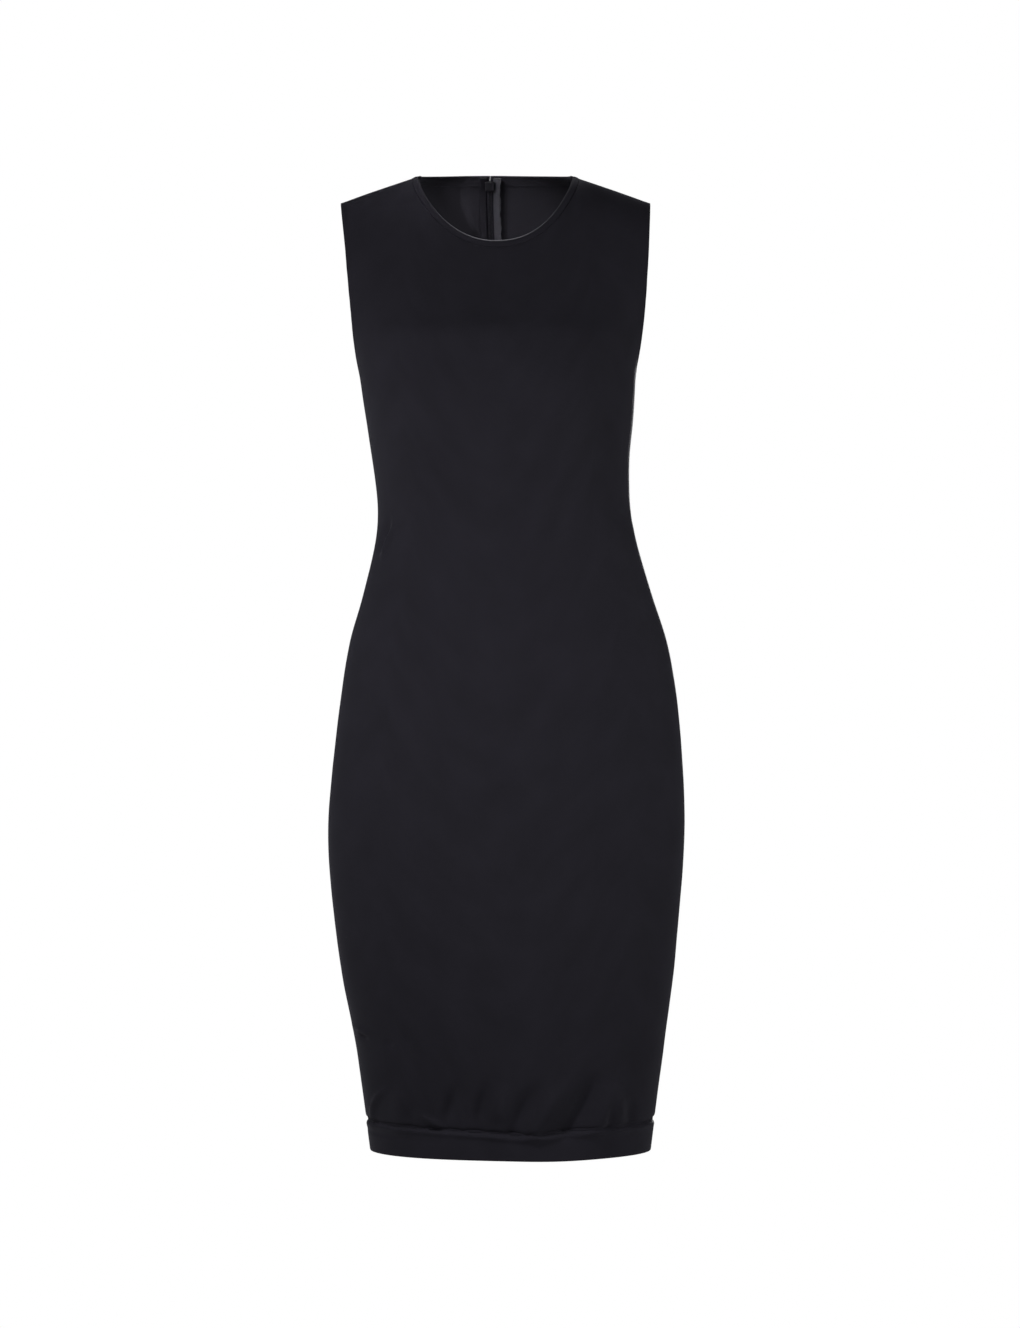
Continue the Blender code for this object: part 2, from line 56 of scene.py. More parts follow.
# Shoulders, neck and armholes
NECK_HALF = 0.0775
NECK_DEPTH = 0.0680
BACK_NECK_RISE = 0.0060
NECK_ROUND = 2.2
NECK_FALL = 0.75
TIP_HALF = 0.1545
TIP_DROP = 0.0268
SHOULDER_CROWN = 0.08
NECK_Z = TIP_DROP / 2
UNDERARM_DROP = 0.1950
ARMHOLE_REACH = {FRONT: 0.050, BACK: 0.046}
ARMHOLE_TOP_POWER = 0.42
ARMHOLE_END_POWER = 0.53
ARMHOLE_PULL = 8

# Bust, shaped in the cut of the front
CUP_ACROSS = 0.086
CUP_DROP = 0.232
CUP_WIDTH = 0.045
CUP_HEIGHT = 0.065
CUP_DEPTH = 0.009

# Hem
HEM_SEAM_DROP = 0.9455
HEM_DROP = 0.9735
HEM_LIFT = 0.0012
HEM_SEAM_BOW = 0.0045  # how much higher its seam is at the sides
BOW_FROM_DROP = 0.885  # from here down the rows turn to follow it
HEM_SEAM_SAG = Rise(0.0030, 0.020, 0.035)  # how much lower the front of the hem hangs
HEM_SAG = Rise(0.0014, 0.045, 0.050)

# Cloth
GAP = 0.0003  # between solids in the frame, which the cloth here closes
WALL = 0.0016
BINDING_HEIGHT = 0.0060
BINDING_PROUD = 0.0004
BINDING_INSIDE = 0.0020
BAND_PROUD = 0.0003
BAND_INSIDE = 0.0023
NECK_POINT_COLUMN = 0.5
SEAM_DIP = 0.0009  # how far the cloth rolls in at a seam
SEAM_ROLL = 0.0010
SEAM_SINK = 0.35  # and of that, more gently around it
SEAM_SINK_WIDTH = 0.0030
HEM_DIP = 0.0019
HEM_ROLL = 0.0022
HEM_PUFF = Rise(0.0017, 0.0036, 0.0026)  # how the band stands out just below its seam
HEM_PUFF_FADE = 0.9  # of it is gone at the side seams
HEM_PUFF_FADE_POWER = 4
HEM_LOOSE = Rise(0.35, 0.025, 0.055)  # how much larger it is where the band is loosest
HEM_FOLD_FADE = 0.006  # the folds die out this far down the band
BAND_CREASE = Rise(0.0009, 0.0095, 0.0022)  # slants down at the wearer's right of the band
BAND_CREASE_ASIDE = Rise(1.0, 0.06, 0.05)
BAND_CREASE_SLOPE = 0.03
BINDING_PUFF = Rise(0.0004, 0.0026, 0.0022)
BINDING_SEAM_DIP = 0.2  # shares of the usual dip
BINDING_END_DIP = 0.5
NECK_SEAM_DIP = 0.5
NECK_POINT_FADE = 0.03  # columns over which it grows to the shoulder seam's
UNDERARM_FADE = 0.004  # below the armhole, where the side seam's dip begins
PANEL_INNER_DIP = 0.6  # shares of a face's dip that the inside follows
BAND_INNER_DIP = 0.5
BINDING_INNER_DIP = -0.3
SEAM_CALM = 0.007  # the folds die out this near the side and shoulder seams
ALLOWANCE = 0.0090  # width of the seam allowances, overlocked and pressed to one side
NECK_ALLOWANCE = 0.0050  # trimmed
NECK_ALLOWANCE_THICK = 0.0005
ALLOWANCE_DEEP = 0.00163
ALLOWANCE_THICK = 0.0006
ALLOWANCE_STEPS = np.array([-0.1, -0.07, 0.0, 0.12, 0.3, 0.5, 0.7, 0.86, 0.93, 1.0])
OVERLOCK = Rise(0.5, 0.82, 0.10)  # the ridge of thread near its edge
THIN_EDGE = 0.0002  # each face falls back by this at a raw edge
EDGE_ROUND = 0.9
TURNED_WIDTH = 0.0065  # edge of the armhole, turned in and stitched
TURNED_THICK = 0.0003
TURNED_STEP = 0.0008
TURNED_STEP_BEFORE = 0.0006
ARMHOLE_STITCH = Rise(0.00035, TURNED_WIDTH - 0.0010, 0.0007)  # a sunk line

# Mesh of the cloth
HALF_COUNT = 100
YOKE_COUNT = 46
EDGE_STEPS = (0.0004, 0.0010, 0.0018, 0.0028)  # distances of the lines beside a seam
QUARTER_ARC = 0.16  # of a section, for the lines beside the side seams
NECK_ARC = 0.12  # of the neck edge, from its middle to the shoulder
SEAM_CLEAR = 1.4  # the other lines begin this many times beyond the last one beside a seam
NORMAL_STEP = 0.0001
BAND_LEVELS = np.concatenate(
    [[0, 0.015, 0.033, 0.053, 0.076], np.linspace(0.1, 0.3, 7), np.linspace(0.34, 0.9, 12)]
    + [[0.94, 0.97, 0.99, 1.0]]
)
BINDING_LEVELS = np.array([0, 0.03, 0.08, 0.15, 0.3, 0.45, 0.6, 0.75, 0.87, 0.95, 1])
SEAM_SAMPLES = np.linspace(0, 1, 15)[None, :]
ARMHOLE_MARGIN = 0.02  # below the underarm, where points still look for the armhole's edge
BATCHES = 20
FAR = 1.0  # more than any distance that matters

# Zip at the centre back
ZIP_COLUMN = -0.0225
ZIP_FACET = 0.055
ZIP_END_DROP = 0.5745
TAPE_INNER = 0.0034
TAPE_OUTER = 0.0106
TAPE_TOP = 0.0015
TAPE_LIFT = {-1: 0.0020, 1: 0.0044}  # how far each tape's outer edge stands off the cloth
TAPE_LIFT_POWER = 1.2
TAPE_THICK = 0.0008
TAPE_ROWS = 420
TAPE_SHARES = (0.0, 0.04, 0.25, 0.5, 0.75, 0.96, 1.0)  # of its width, where its lines run
ZIP_DEEP = BINDING_INSIDE + GAP  # of the tapes' faces, under the skin
ZIP_STEPS = 90
ZIP_END_MARGIN = 0.004
ZIP_CLEAR_TURN = 0.02  # that the neck strip's allowance keeps from the zip
COIL_PITCH = 1.5 * MM
COIL_FIRST = 0.0085
COIL_DEEP = ZIP_DEEP + 0.0009
COIL_REACH = 0.0026
COIL_PAST = 0.0006  # how far a turn reaches over the middle
COIL_SLOPE = 0.0002
COIL_RADIUS = 0.00062
COIL_FLAT = 1.1
STITCH_PITCH = 2.4 * MM
STITCH_LENGTH = 1.9 * MM
STITCH_FIRST = 0.0100
STITCH_DEEP = ZIP_DEEP + 0.0017
STITCH_ASIDE = 0.0021
STITCH_RADIUS = 0.00035
STITCH_FLAT = 0.8
STITCH_SIDES = 5
# Rings of a small rounded rod: share of its length, share of its radius
ROD_RINGS = ((0.0, 0.55), (0.12, 1.0), (0.88, 1.0), (1.0, 0.55))

# What is a little uneven along its length is so by a sum of waves, with rates in radians a metre
Wave = namedtuple("Wave", "height rate start")
SEAM_WAVES = (Wave(0.25, 310, 0.0), Wave(0.20, 173, 1.3))
RAGGED_WAVES = (Wave(0.03, 900, 0.0), Wave(0.02, 413, 0.0))
TAPE_LIFT_WAVES = (Wave(0.20, 95, 0.0), Wave(0.15, 233, 0.0))
TAPE_RIPPLE_WAVES = (Wave(0.00018, 640, 0.8),)
TAPE_EDGE_WAVES = {way: (Wave(0.00035, 640, 0.0), Wave(0.0003, 271, way)) for way in (-1, 1)}

Ripple = namedtuple("Ripple", "height across drop start by_side")
RIPPLES = (
    Ripple(1.0, 61, 23, 0.4, 2.0),
    Ripple(1.0, -37, 71, 1.7, 0.0),
    Ripple(0.6, 103, -47, 0.0, 3.1),
    Ripple(0.5, 29, 141, 5.2, 0.0),
)
SOFTNESS = 0.00016  # height of those ripples, all over the cloth

Outline = namedtuple("Outline", "drop half_width shift")
OUTLINES = (
    Outline(0.0268, 0.1545, 0.0),
    Outline(0.078, 0.1504, 0.0016),
    Outline(0.138, 0.1459, 0.0024),
    Outline(0.178, 0.1412, 0.0021),
    Outline(0.195, 0.1385, 0.0022),
    Outline(0.238, 0.134, 0.004),
    Outline(0.283, 0.1285, 0.0055),
    Outline(0.328, 0.1262, 0.0082),
    Outline(0.363, 0.1302, 0.0104),
    Outline(0.418, 0.1445, 0.012),
    Outline(0.468, 0.1593, 0.013),
    Outline(0.528, 0.1688, 0.0132),
    Outline(0.598, 0.1757, 0.0122),
    Outline(0.658, 0.1783, 0.0108),
    Outline(0.728, 0.1735, 0.0108),
    Outline(0.798, 0.1655, 0.0122),
    Outline(0.868, 0.154, 0.0145),
    Outline(0.928, 0.1458, 0.0148),
    Outline(0.9725, 0.14, 0.015),
)

Depth = namedtuple("Depth", "drop front back front_power back_power")
DEPTHS = (
    Depth(-0.012, 0.026, 0.049, 2.3, 2.4),
    Depth(0.028, 0.042, 0.061, 2.3, 2.4),
    Depth(0.068, 0.06, 0.075, 2.3, 2.5),
    Depth(0.115, 0.0835, 0.0907, 2.39, 2.59),
    Depth(0.158, 0.1065, 0.0985, 2.54, 2.61),
    Depth(0.182, 0.115, 0.1001, 2.62, 2.59),
    Depth(0.235, 0.119, 0.097, 2.75, 2.5),
    Depth(0.285, 0.109, 0.084, 2.5, 2.3),
    Depth(0.34, 0.093, 0.073, 2.3, 2.2),
    Depth(0.4, 0.093, 0.087, 2.2, 2.2),
    Depth(0.47, 0.098, 0.109, 2.2, 2.2),
    Depth(0.55, 0.101, 0.122, 2.2, 2.2),
    Depth(0.64, 0.101, 0.116, 2.2, 2.2),
    Depth(0.74, 0.102, 0.106, 2.1, 2.1),
    Depth(0.85, 0.106, 0.101, 2.05, 2.05),
    Depth(0.9725, 0.11, 0.102, 2.0, 2.0),
)

# Each fold runs from one place to the other. bend bows its middle to its left, a negative
# height is a trough, and hold is how much of it is left where it ends, as at a seam.
Fold = namedtuple("Fold", "across drop to_across to_drop bend width height hold")
FRONT_FOLDS = (
    # the largest, near those of the solids
    Fold(0.098, 0.868, 0.056, 0.9455, 0.0, 0.011, -0.0026, 1.0),
    Fold(0.11, 0.885, 0.082, 0.945, 0.0, 0.0115, 0.0022, 1.0),
    Fold(0.052, 0.895, 0.021, 0.945, 0.0, 0.012, 0.0022, 1.0),
    Fold(-0.052, 0.897, -0.064, 0.943, 0.0, 0.012, -0.0014, 1.0),
    Fold(-0.106, 0.89, -0.11, 0.94, 0.0, 0.01, 0.0026, 0.6),
    Fold(-0.126, 0.34, -0.09, 0.352, 0.0, 0.012, -0.0016, 0.0),
    # the soft step across the chest
    Fold(-0.17, 0.16, 0.0, 0.159, 0.0, 0.013, 0.0028, 0.8),
    Fold(0.15, 0.162, 0.0, 0.159, 0.0, 0.013, 0.0028, 0.8),
    # puckers above the hem band, from the wearer's right to left
    Fold(-0.113, 0.902, -0.137, 0.94, 0.008, 0.0032, 0.003, 0.6),
    Fold(-0.096, 0.914, -0.1, 0.94, 0.0, 0.006, -0.0018, 0.5),
    Fold(-0.094, 0.927, -0.066, 0.943, 0.0, 0.0032, 0.003, 0.6),
    Fold(-0.051, 0.893, -0.064, 0.94, 0.001, 0.007, -0.0048, 0.4),
    Fold(-0.043, 0.912, -0.044, 0.942, 0.0, 0.0034, -0.0014, 0.3),
    Fold(-0.024, 0.889, -0.031, 0.94, 0.001, 0.0074, -0.0054, 0.4),
    Fold(-0.003, 0.896, -0.011, 0.94, 0.002, 0.008, 0.0046, 0.4),
    Fold(0.03, 0.89, 0.003, 0.944, 0.001, 0.0082, -0.006, 0.8),
    Fold(0.058, 0.89, 0.023, 0.944, 0.001, 0.009, 0.005, 1.0),
    Fold(0.09, 0.885, 0.055, 0.9455, -0.002, 0.0086, -0.0062, 1.0),
    Fold(0.104, 0.896, 0.085, 0.943, -0.001, 0.0078, 0.0044, 0.8),
    Fold(0.0985, 0.906, 0.096, 0.942, 0.0, 0.0044, -0.0022, 0.5),
    Fold(0.108, 0.895, 0.106, 0.943, 0.0, 0.006, 0.0034, 0.6),
    Fold(0.12, 0.91, 0.119, 0.944, 0.0, 0.0052, -0.0024, 0.6),
    # drag lines at the side, above the puckers
    Fold(-0.134, 0.858, -0.154, 0.848, 0.001, 0.003, 0.002, 0.3),
    Fold(-0.138, 0.861, -0.152, 0.8545, 0.001, 0.003, -0.0012, 0.0),
    Fold(-0.125, 0.8575, -0.115, 0.8645, 0.0, 0.003, -0.0014, 0.0),
    Fold(-0.104, 0.844, -0.098, 0.864, 0.0, 0.0036, -0.0012, 0.0),
    # crease at the waist, on the wearer's right
    Fold(-0.112, 0.336, -0.1265, 0.374, 0.0, 0.0028, -0.005, 0.5),
    Fold(-0.111, 0.348, -0.123, 0.381, 0.0, 0.0028, 0.0038, 0.3),
    Fold(-0.112, 0.36, -0.119, 0.374, 0.0, 0.0028, -0.0018, 0.0),
    # and one like them where the photograph doesn't show the dress
    Fold(0.115, 0.33, 0.1255, 0.344, 0.001, 0.0036, -0.0012, 0.3),
)
BACK_FOLDS = (
    # the largest, near those of the solids
    Fold(0.07, 0.88, 0.046, 0.945, 0.0, 0.012, -0.002, 1.0),
    Fold(-0.06, 0.87, -0.03, 0.945, 0.0, 0.012, -0.0016, 1.0),
    Fold(0.0, 0.328, 0.1, 0.345, 0.004, 0.014, -0.002, 0.0),
    Fold(-0.1, 0.345, 0.0, 0.328, 0.004, 0.014, -0.002, 0.0),
    # finer ones, like those in front
    Fold(0.03, 0.342, 0.093, 0.356, 0.003, 0.0075, 0.0013, 0.0),
    Fold(-0.096, 0.358, -0.022, 0.344, 0.003, 0.007, 0.0012, 0.0),
    Fold(0.05, 0.366, 0.112, 0.374, -0.002, 0.0065, -0.0012, 0.0),
    Fold(-0.113, 0.376, -0.06, 0.364, -0.002, 0.0065, -0.0011, 0.0),
    Fold(0.08, 0.312, 0.118, 0.32, 0.002, 0.0055, -0.0011, 0.0),
    Fold(-0.118, 0.322, -0.072, 0.31, 0.002, 0.0055, -0.0012, 0.0),
    Fold(0.109, 0.9, 0.118, 0.945, 0.002, 0.0048, 0.0014, 0.6),
    Fold(0.088, 0.905, 0.072, 0.945, -0.003, 0.005, 0.0016, 1.0),
    Fold(0.074, 0.9, 0.052, 0.945, -0.002, 0.0048, -0.0018, 1.0),
    Fold(0.036, 0.916, 0.029, 0.945, 0.0, 0.0046, 0.0013, 0.8),
    Fold(0.013, 0.906, 0.009, 0.945, 0.001, 0.005, -0.0014, 0.5),
    Fold(-0.014, 0.912, -0.006, 0.945, 0.001, 0.0052, 0.0012, 0.7),
    Fold(-0.056, 0.896, -0.028, 0.945, 0.003, 0.0052, -0.002, 1.0),
    Fold(-0.074, 0.904, -0.048, 0.945, 0.003, 0.005, 0.0016, 1.0),
    Fold(-0.095, 0.918, -0.083, 0.945, 0.001, 0.004, -0.0012, 0.6),
    Fold(-0.12, 0.906, -0.108, 0.94, 0.002, 0.0046, 0.0013, 0.3),
)
FOLDS = {FRONT: FRONT_FOLDS, BACK: BACK_FOLDS}
FOLD_START = 0.6  # share of a fold's length over which it rises
FOLD_END = 0.3
FOLD_STEPS = 13

# Rows down the skirt, closer where there are folds
Rows = namedtuple("Rows", "to_drop spacing")
SKIRT_ROWS = (
    Rows(0.300, 0.0070),
    Rows(0.385, 0.0024),
    Rows(0.830, 0.0080),
    Rows(0.885, 0.0021),
    Rows(0.942, 0.0017),
)


# --- the skin ---


def smooth(rows, column, drop):
    """A column's values at drops, on a smooth curve through the rows of its table."""
    drops = np.array([row.drop for row in rows])
    values = np.array([getattr(row, column) for row in rows])
    slopes = np.empty(len(rows))
    slopes[1:-1] = (values[2:] - values[:-2]) / (drops[2:] - drops[:-2])
    slopes[0] = (values[1] - values[0]) / (drops[1] - drops[0])
    slopes[-1] = (values[-1] - values[-2]) / (drops[-1] - drops[-2])
    above = np.clip(np.searchsorted(drops, drop, side="right") - 1, 0, len(rows) - 2)
    span = drops[above + 1] - drops[above]
    t = (drop - drops[above]) / span
    from_above = values[above] * (1 + 2 * t) + span * t * slopes[above]
    from_below = values[above + 1] * (3 - 2 * t) - span * (1 - t) * slopes[above + 1]
    return from_above * (1 - t) ** 2 + from_below * t**2


def shoulder_drop(across):
    t = (np.abs(across) - NECK_HALF) / (TIP_HALF - NECK_HALF)
    return TIP_DROP * t * (1 - SHOULDER_CROWN * (1 - t))


def shoulder_half(drop):
    straight = 1 - SHOULDER_CROWN
    root = np.sqrt(np.maximum(straight**2 + 4 * SHOULDER_CROWN * drop / TIP_DROP, 0))
    return NECK_HALF + (TIP_HALF - NECK_HALF) * (root - straight) / (2 * SHOULDER_CROWN)


def power(side, drop):
    return smooth(DEPTHS, "front_power" if side == FRONT else "back_power", drop)


def depth(side, across, drop):
    if side == BACK:
        return smooth(DEPTHS, "back", drop)
    beside = (np.abs(across) - CUP_ACROSS) / CUP_WIDTH
    above = (drop - CUP_DROP) / CUP_HEIGHT
    return smooth(DEPTHS, "front", drop) + CUP_DEPTH * np.exp(-(beside**2) - above**2)


def closing_half(side, drop):
    """Half width of a section's whole oval, which an armhole cuts short."""
    edge = smooth(OUTLINES, "half_width", drop)
    t = np.clip((drop - TIP_DROP) / (UNDERARM_DROP - TIP_DROP), 0, 1)
    squareness = ARMHOLE_TOP_POWER + (ARMHOLE_END_POWER - ARMHOLE_TOP_POWER) * t
    reach = ARMHOLE_REACH[side] * (4 * t * (1 - t)) ** squareness
    n = power(side, drop)
    middle = smooth(DEPTHS, "front" if side == FRONT else "back", drop)
    whole = edge / (1 - (reach / middle) ** n) ** (1 / n)
    return np.where(drop <= TIP_DROP, shoulder_half(np.minimum(drop, TIP_DROP)), whole)


def shift(drop):
    return smooth(OUTLINES, "shift", np.maximum(drop, TIP_DROP))


def oval(side, points):
    """1 on the skin, less inside it and more outside."""
    drop = NECK_Z - points[..., 2]
    across = points[..., 0] - shift(drop)
    n = power(side, drop)
    wide = np.abs(across) / closing_half(side, drop)
    deep = np.abs(points[..., 1]) / depth(side, across, drop)
    return wide**n + deep**n


def gradient(side, points):
    ways = np.eye(3) * NORMAL_STEP
    rise = [oval(side, points + way) - oval(side, points - way) for way in ways]
    return np.stack(rise, -1) / (2 * NORMAL_STEP)


def unit(vectors):
    return vectors / np.linalg.norm(vectors, axis=-1, keepdims=True)


def skin(side, across, drop):
    """Points of the smooth skin and its outward normals."""
    n = power(side, drop)
    wide = np.minimum(np.abs(across) / closing_half(side, drop), 1.0)
    y = side * depth(side, across, drop) * (1 - wide**n) ** (1 / n)
    points = np.stack([shift(drop) + across, y, NECK_Z - drop], -1)
    return points, unit(gradient(side, points))


def ease(t):
    """From 0 to 1, level at both ends."""
    t = np.clip(t, 0, 1)
    return t * t * (3 - 2 * t)


def bell(distance, width):
    return np.exp(-((distance / width) ** 2))


def raised(place, rise):
    return rise.height * bell(place - rise.at, rise.width)


def wavy(along, waves):
    return sum(wave.height * np.sin(along * wave.rate + wave.start) for wave in waves)


def faded(t, hold):
    """1 along a fold, falling to 0 at its start and to hold at its end."""
    return ease(t / FOLD_START) * (hold + (1 - hold) * ease((1 - t) / FOLD_END))


def fold_height(side, across, drop):
    """How far the folds lift the cloth off the skin."""
    here = np.stack([across, drop], -1)
    height = SOFTNESS * sum(
        ripple.height
        * np.sin(ripple.across * across + ripple.drop * drop + ripple.start + ripple.by_side * side)
        for ripple in RIPPLES
    )
    for fold in FOLDS[side]:
        start = np.array([fold.across, fold.drop])
        end = np.array([fold.to_across, fold.to_drop])
        run = end - start
        left = np.array([-run[1], run[0]]) / np.linalg.norm(run)
        reach = 3 * fold.width + abs(fold.bend)
        low, high = np.minimum(start, end) - reach, np.maximum(start, end) + reach
        near = ((here > low) & (here < high)).all(-1)
        if not near.any():
            continue
        spots = here[near]
        nearest = np.full(len(spots), FAR)
        along = np.zeros(len(spots))
        steps = np.linspace(0, 1, FOLD_STEPS)
        line = start + np.outer(steps, run) + np.outer(4 * steps * (1 - steps) * fold.bend, left)
        for i in range(len(line) - 1):
            piece = line[i + 1] - line[i]
            t = np.clip((spots - line[i]) @ piece / (piece @ piece), 0, 1)
            away = np.linalg.norm(spots - line[i] - t[:, None] * piece, axis=1)
            closer = away < nearest
            nearest[closer] = away[closer]
            along[closer] = (i + t[closer]) / (len(line) - 1)
        height[near] += fold.height * bell(nearest, fold.width) * faded(along, fold.hold)
    return height


# --- columns and rows of the cloth ---


def neckline(side, turn, inset):
    """Across and drop on the neck edge, or inset outside it."""
    half = NECK_HALF + inset
    sine = np.sin(turn * math.pi / 2)
    end = shoulder_drop(half)
    middle = inset + (NECK_DEPTH if side == FRONT else -BACK_NECK_RISE)
    round_ = np.maximum(1 - np.abs(sine) ** NECK_ROUND, 0) ** NECK_FALL
    return half * sine, end + (middle - end) * round_


def top_edge(side, column):
    turn = np.clip(column / NECK_POINT_COLUMN, -1, 1)
    neck_across, neck_drop = neckline(side, turn, BINDING_HEIGHT)
    start = NECK_HALF + BINDING_HEIGHT
    t = np.clip((np.abs(column) - NECK_POINT_COLUMN) / (1 - NECK_POINT_COLUMN), 0, 1)
    across = start + (TIP_HALF - start) * t
    on_neck = np.abs(column) <= NECK_POINT_COLUMN
    return (
        np.where(on_neck, neck_across, np.sign(column) * across),
        np.where(on_neck, neck_drop, shoulder_drop(across)),
    )


def ring(column, drop):
    return smooth(OUTLINES, "half_width", drop) * np.sin(column * math.pi / 2)


def yoke(side, column, level):
    """Across and drop above the underarm. level is 0 at the top and 1 at the underarm."""
    top_across, top_drop = top_edge(side, column)
    drop = top_drop + (UNDERARM_DROP - top_drop) * level
    across = top_across + (ring(column, UNDERARM_DROP) - top_across) * level
    straight_level = (drop - TIP_DROP) / (UNDERARM_DROP - TIP_DROP)
    straight = TIP_HALF + (ring(1.0, UNDERARM_DROP) - TIP_HALF) * straight_level
    pull = smooth(OUTLINES, "half_width", np.maximum(drop, TIP_DROP)) - straight
    pulled = across + np.sign(column) * pull * np.abs(column) ** ARMHOLE_PULL
    return np.where(straight_level <= 0, across, pulled), drop


def sagging(side, across, sag):
    return raised(across, sag) * (side == FRONT)


def hem_seam(side, column):
    """Drop of the hem band's seam."""
    across = ring(column, HEM_SEAM_DROP)
    bow = HEM_SEAM_BOW * np.sin(column * math.pi / 2) ** 2
    return HEM_SEAM_DROP + sagging(side, across, HEM_SEAM_SAG) - bow


def eased(count):
    return (1 - np.cos(np.pi * np.arange(count + 1) / count)) / 2


def skirt_drops():
    drops = [UNDERARM_DROP]
    for to_drop, spacing in SKIRT_ROWS:
        count = round((to_drop - drops[-1]) / spacing)
        drops += list(np.linspace(drops[-1], to_drop, count + 1)[1:])
    end = HEM_SEAM_DROP
    return np.array(drops[1:] + [end - step for step in reversed(EDGE_STEPS)] + [end])


def columns_between(start, end):
    """Columns from one seam to another, with finer ones beside each seam."""
    lines = np.linspace(-1, 1, 2 * HALF_COUNT + 1)
    near = EDGE_STEPS[-1] / QUARTER_ARC * SEAM_CLEAR
    lines = lines[(lines > start + near) & (lines < end - near)]
    beside = np.array(EDGE_STEPS) / QUARTER_ARC
    return np.concatenate([[start], start + beside, lines, end - beside[::-1], [end]])


def panel_places(side, columns):
    """(across, drop) of a panel, columns by rows, from its top to the hem seam."""
    column = columns[:, None]
    across, drop = yoke(side, column, eased(YOKE_COUNT)[None, :])
    skirt = skirt_drops()[None, :]
    bowed = np.clip((skirt - BOW_FROM_DROP) / (HEM_SEAM_DROP - BOW_FROM_DROP), 0, 1) ** 2
    skirt = skirt + bowed * (hem_seam(side, column) - HEM_SEAM_DROP)
    across = np.concatenate([across, ring(column, skirt)], 1)
    drop = np.concatenate([drop, skirt], 1)
    return across, drop


def off_seams(points):
    """Share of the folds that is left near the side and shoulder seams, where y is 0."""
    return 1 - bell(points[..., 1], SEAM_CALM)


def cloth(side, across, drop):
    """Points of the folded cloth and the skin's normals."""
    points, normals = skin(side, across, drop)
    height = fold_height(side, across, drop) * off_seams(points)
    return points + normals * height[..., None], normals


def lengths(points, axis):
    """Distance of each point along its line from the line's first point."""
    steps = np.linalg.norm(np.diff(points, axis=axis), axis=-1)
    zero = np.zeros_like(np.take(steps, [0], axis))
    return np.concatenate([zero, np.cumsum(steps, axis)], axis)


def at_distances(distances, run, line):
    """A line's points or ways at distances, where run says how far along each of them is."""
    return np.stack([np.interp(distances, run, line[:, k]) for k in range(3)], -1)


# --- meshes ---


def placed(name, data):
    """A new object in the scene."""
    made = bpy.data.objects.new(name, data)
    bpy.context.scene.collection.objects.link(made)
    return made


def finished(name, mesh, slot, *surfaces):
    """The piece made of a mesh, with its faces turned outward."""
    bm = bmesh.new()
    bm.from_mesh(mesh)
    bmesh.ops.recalc_face_normals(bm, faces=bm.faces)
    bm.to_mesh(mesh)
    bm.free()
    for surface in surfaces:
        mesh.materials.append(surface)
    mesh.shade_smooth()
    made = placed(name, mesh)
    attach(made, "dress")
    return made


# A grid of points on each face of a layer of cloth, and its weave coordinates in metres
Layer = namedtuple("Layer", "outer inner weave")


def layer_faces(shape):
    """The faces of a closed wall between two grids."""
    columns, rows = shape
    count = columns * rows
    index = np.arange(count).reshape(columns, rows)
    squares = np.stack([index[:-1, :-1], index[:-1, 1:], index[1:, 1:], index[1:, :-1]], -1)
    squares = squares.reshape(-1, 4)
    faces = [squares, squares[:, ::-1] + count]
    for line in (index[0], index[-1][::-1], index[::-1, 0], index[:, -1]):
        rim = [line[:-1], line[:-1] + count, line[1:] + count, line[1:]]
        faces.append(np.stack(rim, -1))
    return np.concatenate(faces)


def wall(name, layers, slot, face, reverse):
    """A piece of cloth: its main layer, then the allowances that are turned in at its seams."""
    points, faces, places, sides, start = [], [], [], [], 0
    for layer in layers:
        faces.append(layer_faces(layer.outer.shape[:2]) + start)
        columns, rows = layer.outer.shape[:2]
        squares = (columns - 1) * (rows - 1)
        sides.append(np.repeat([0, 1, 0], [squares, squares, len(faces[-1]) - 2 * squares]))
        points += [layer.outer.reshape(-1, 3), layer.inner.reshape(-1, 3)]
        places += [layer.weave.reshape(-1, 2)] * 2
        start = sum(len(part) for part in points)
    mesh = bpy.data.meshes.new(name)
    mesh.from_pydata(np.concatenate(points).tolist(), [], np.concatenate(faces).tolist())
    uv = mesh.uv_layers.new(name="weave")
    corners = np.empty(len(mesh.loops), dtype=np.int64)
    mesh.loops.foreach_get("vertex_index", corners)
    uv.data.foreach_set("uv", np.concatenate(places)[corners].astype(np.float32).ravel())
    mesh.polygons.foreach_set("material_index", np.concatenate(sides).astype(np.int32))
    return finished(name, mesh, slot, face, reverse)


def rounded(distance, radius):
    """How far a face falls back where it rounds over a free edge."""
    t = np.clip(1 - distance / radius, 0, 1)
    return radius * EDGE_ROUND * (1 - np.sqrt(1 - t**2))


def seam_dip(distance, along, depth=SEAM_DIP, width=SEAM_ROLL):
    """How far a face dips beside a seam, a little unevenly along it."""
    roll = bell(distance, width)
    sink = SEAM_SINK * bell(distance, SEAM_SINK_WIDTH)
    return depth * (1 + wavy(along, SEAM_WAVES)) * (roll + sink)


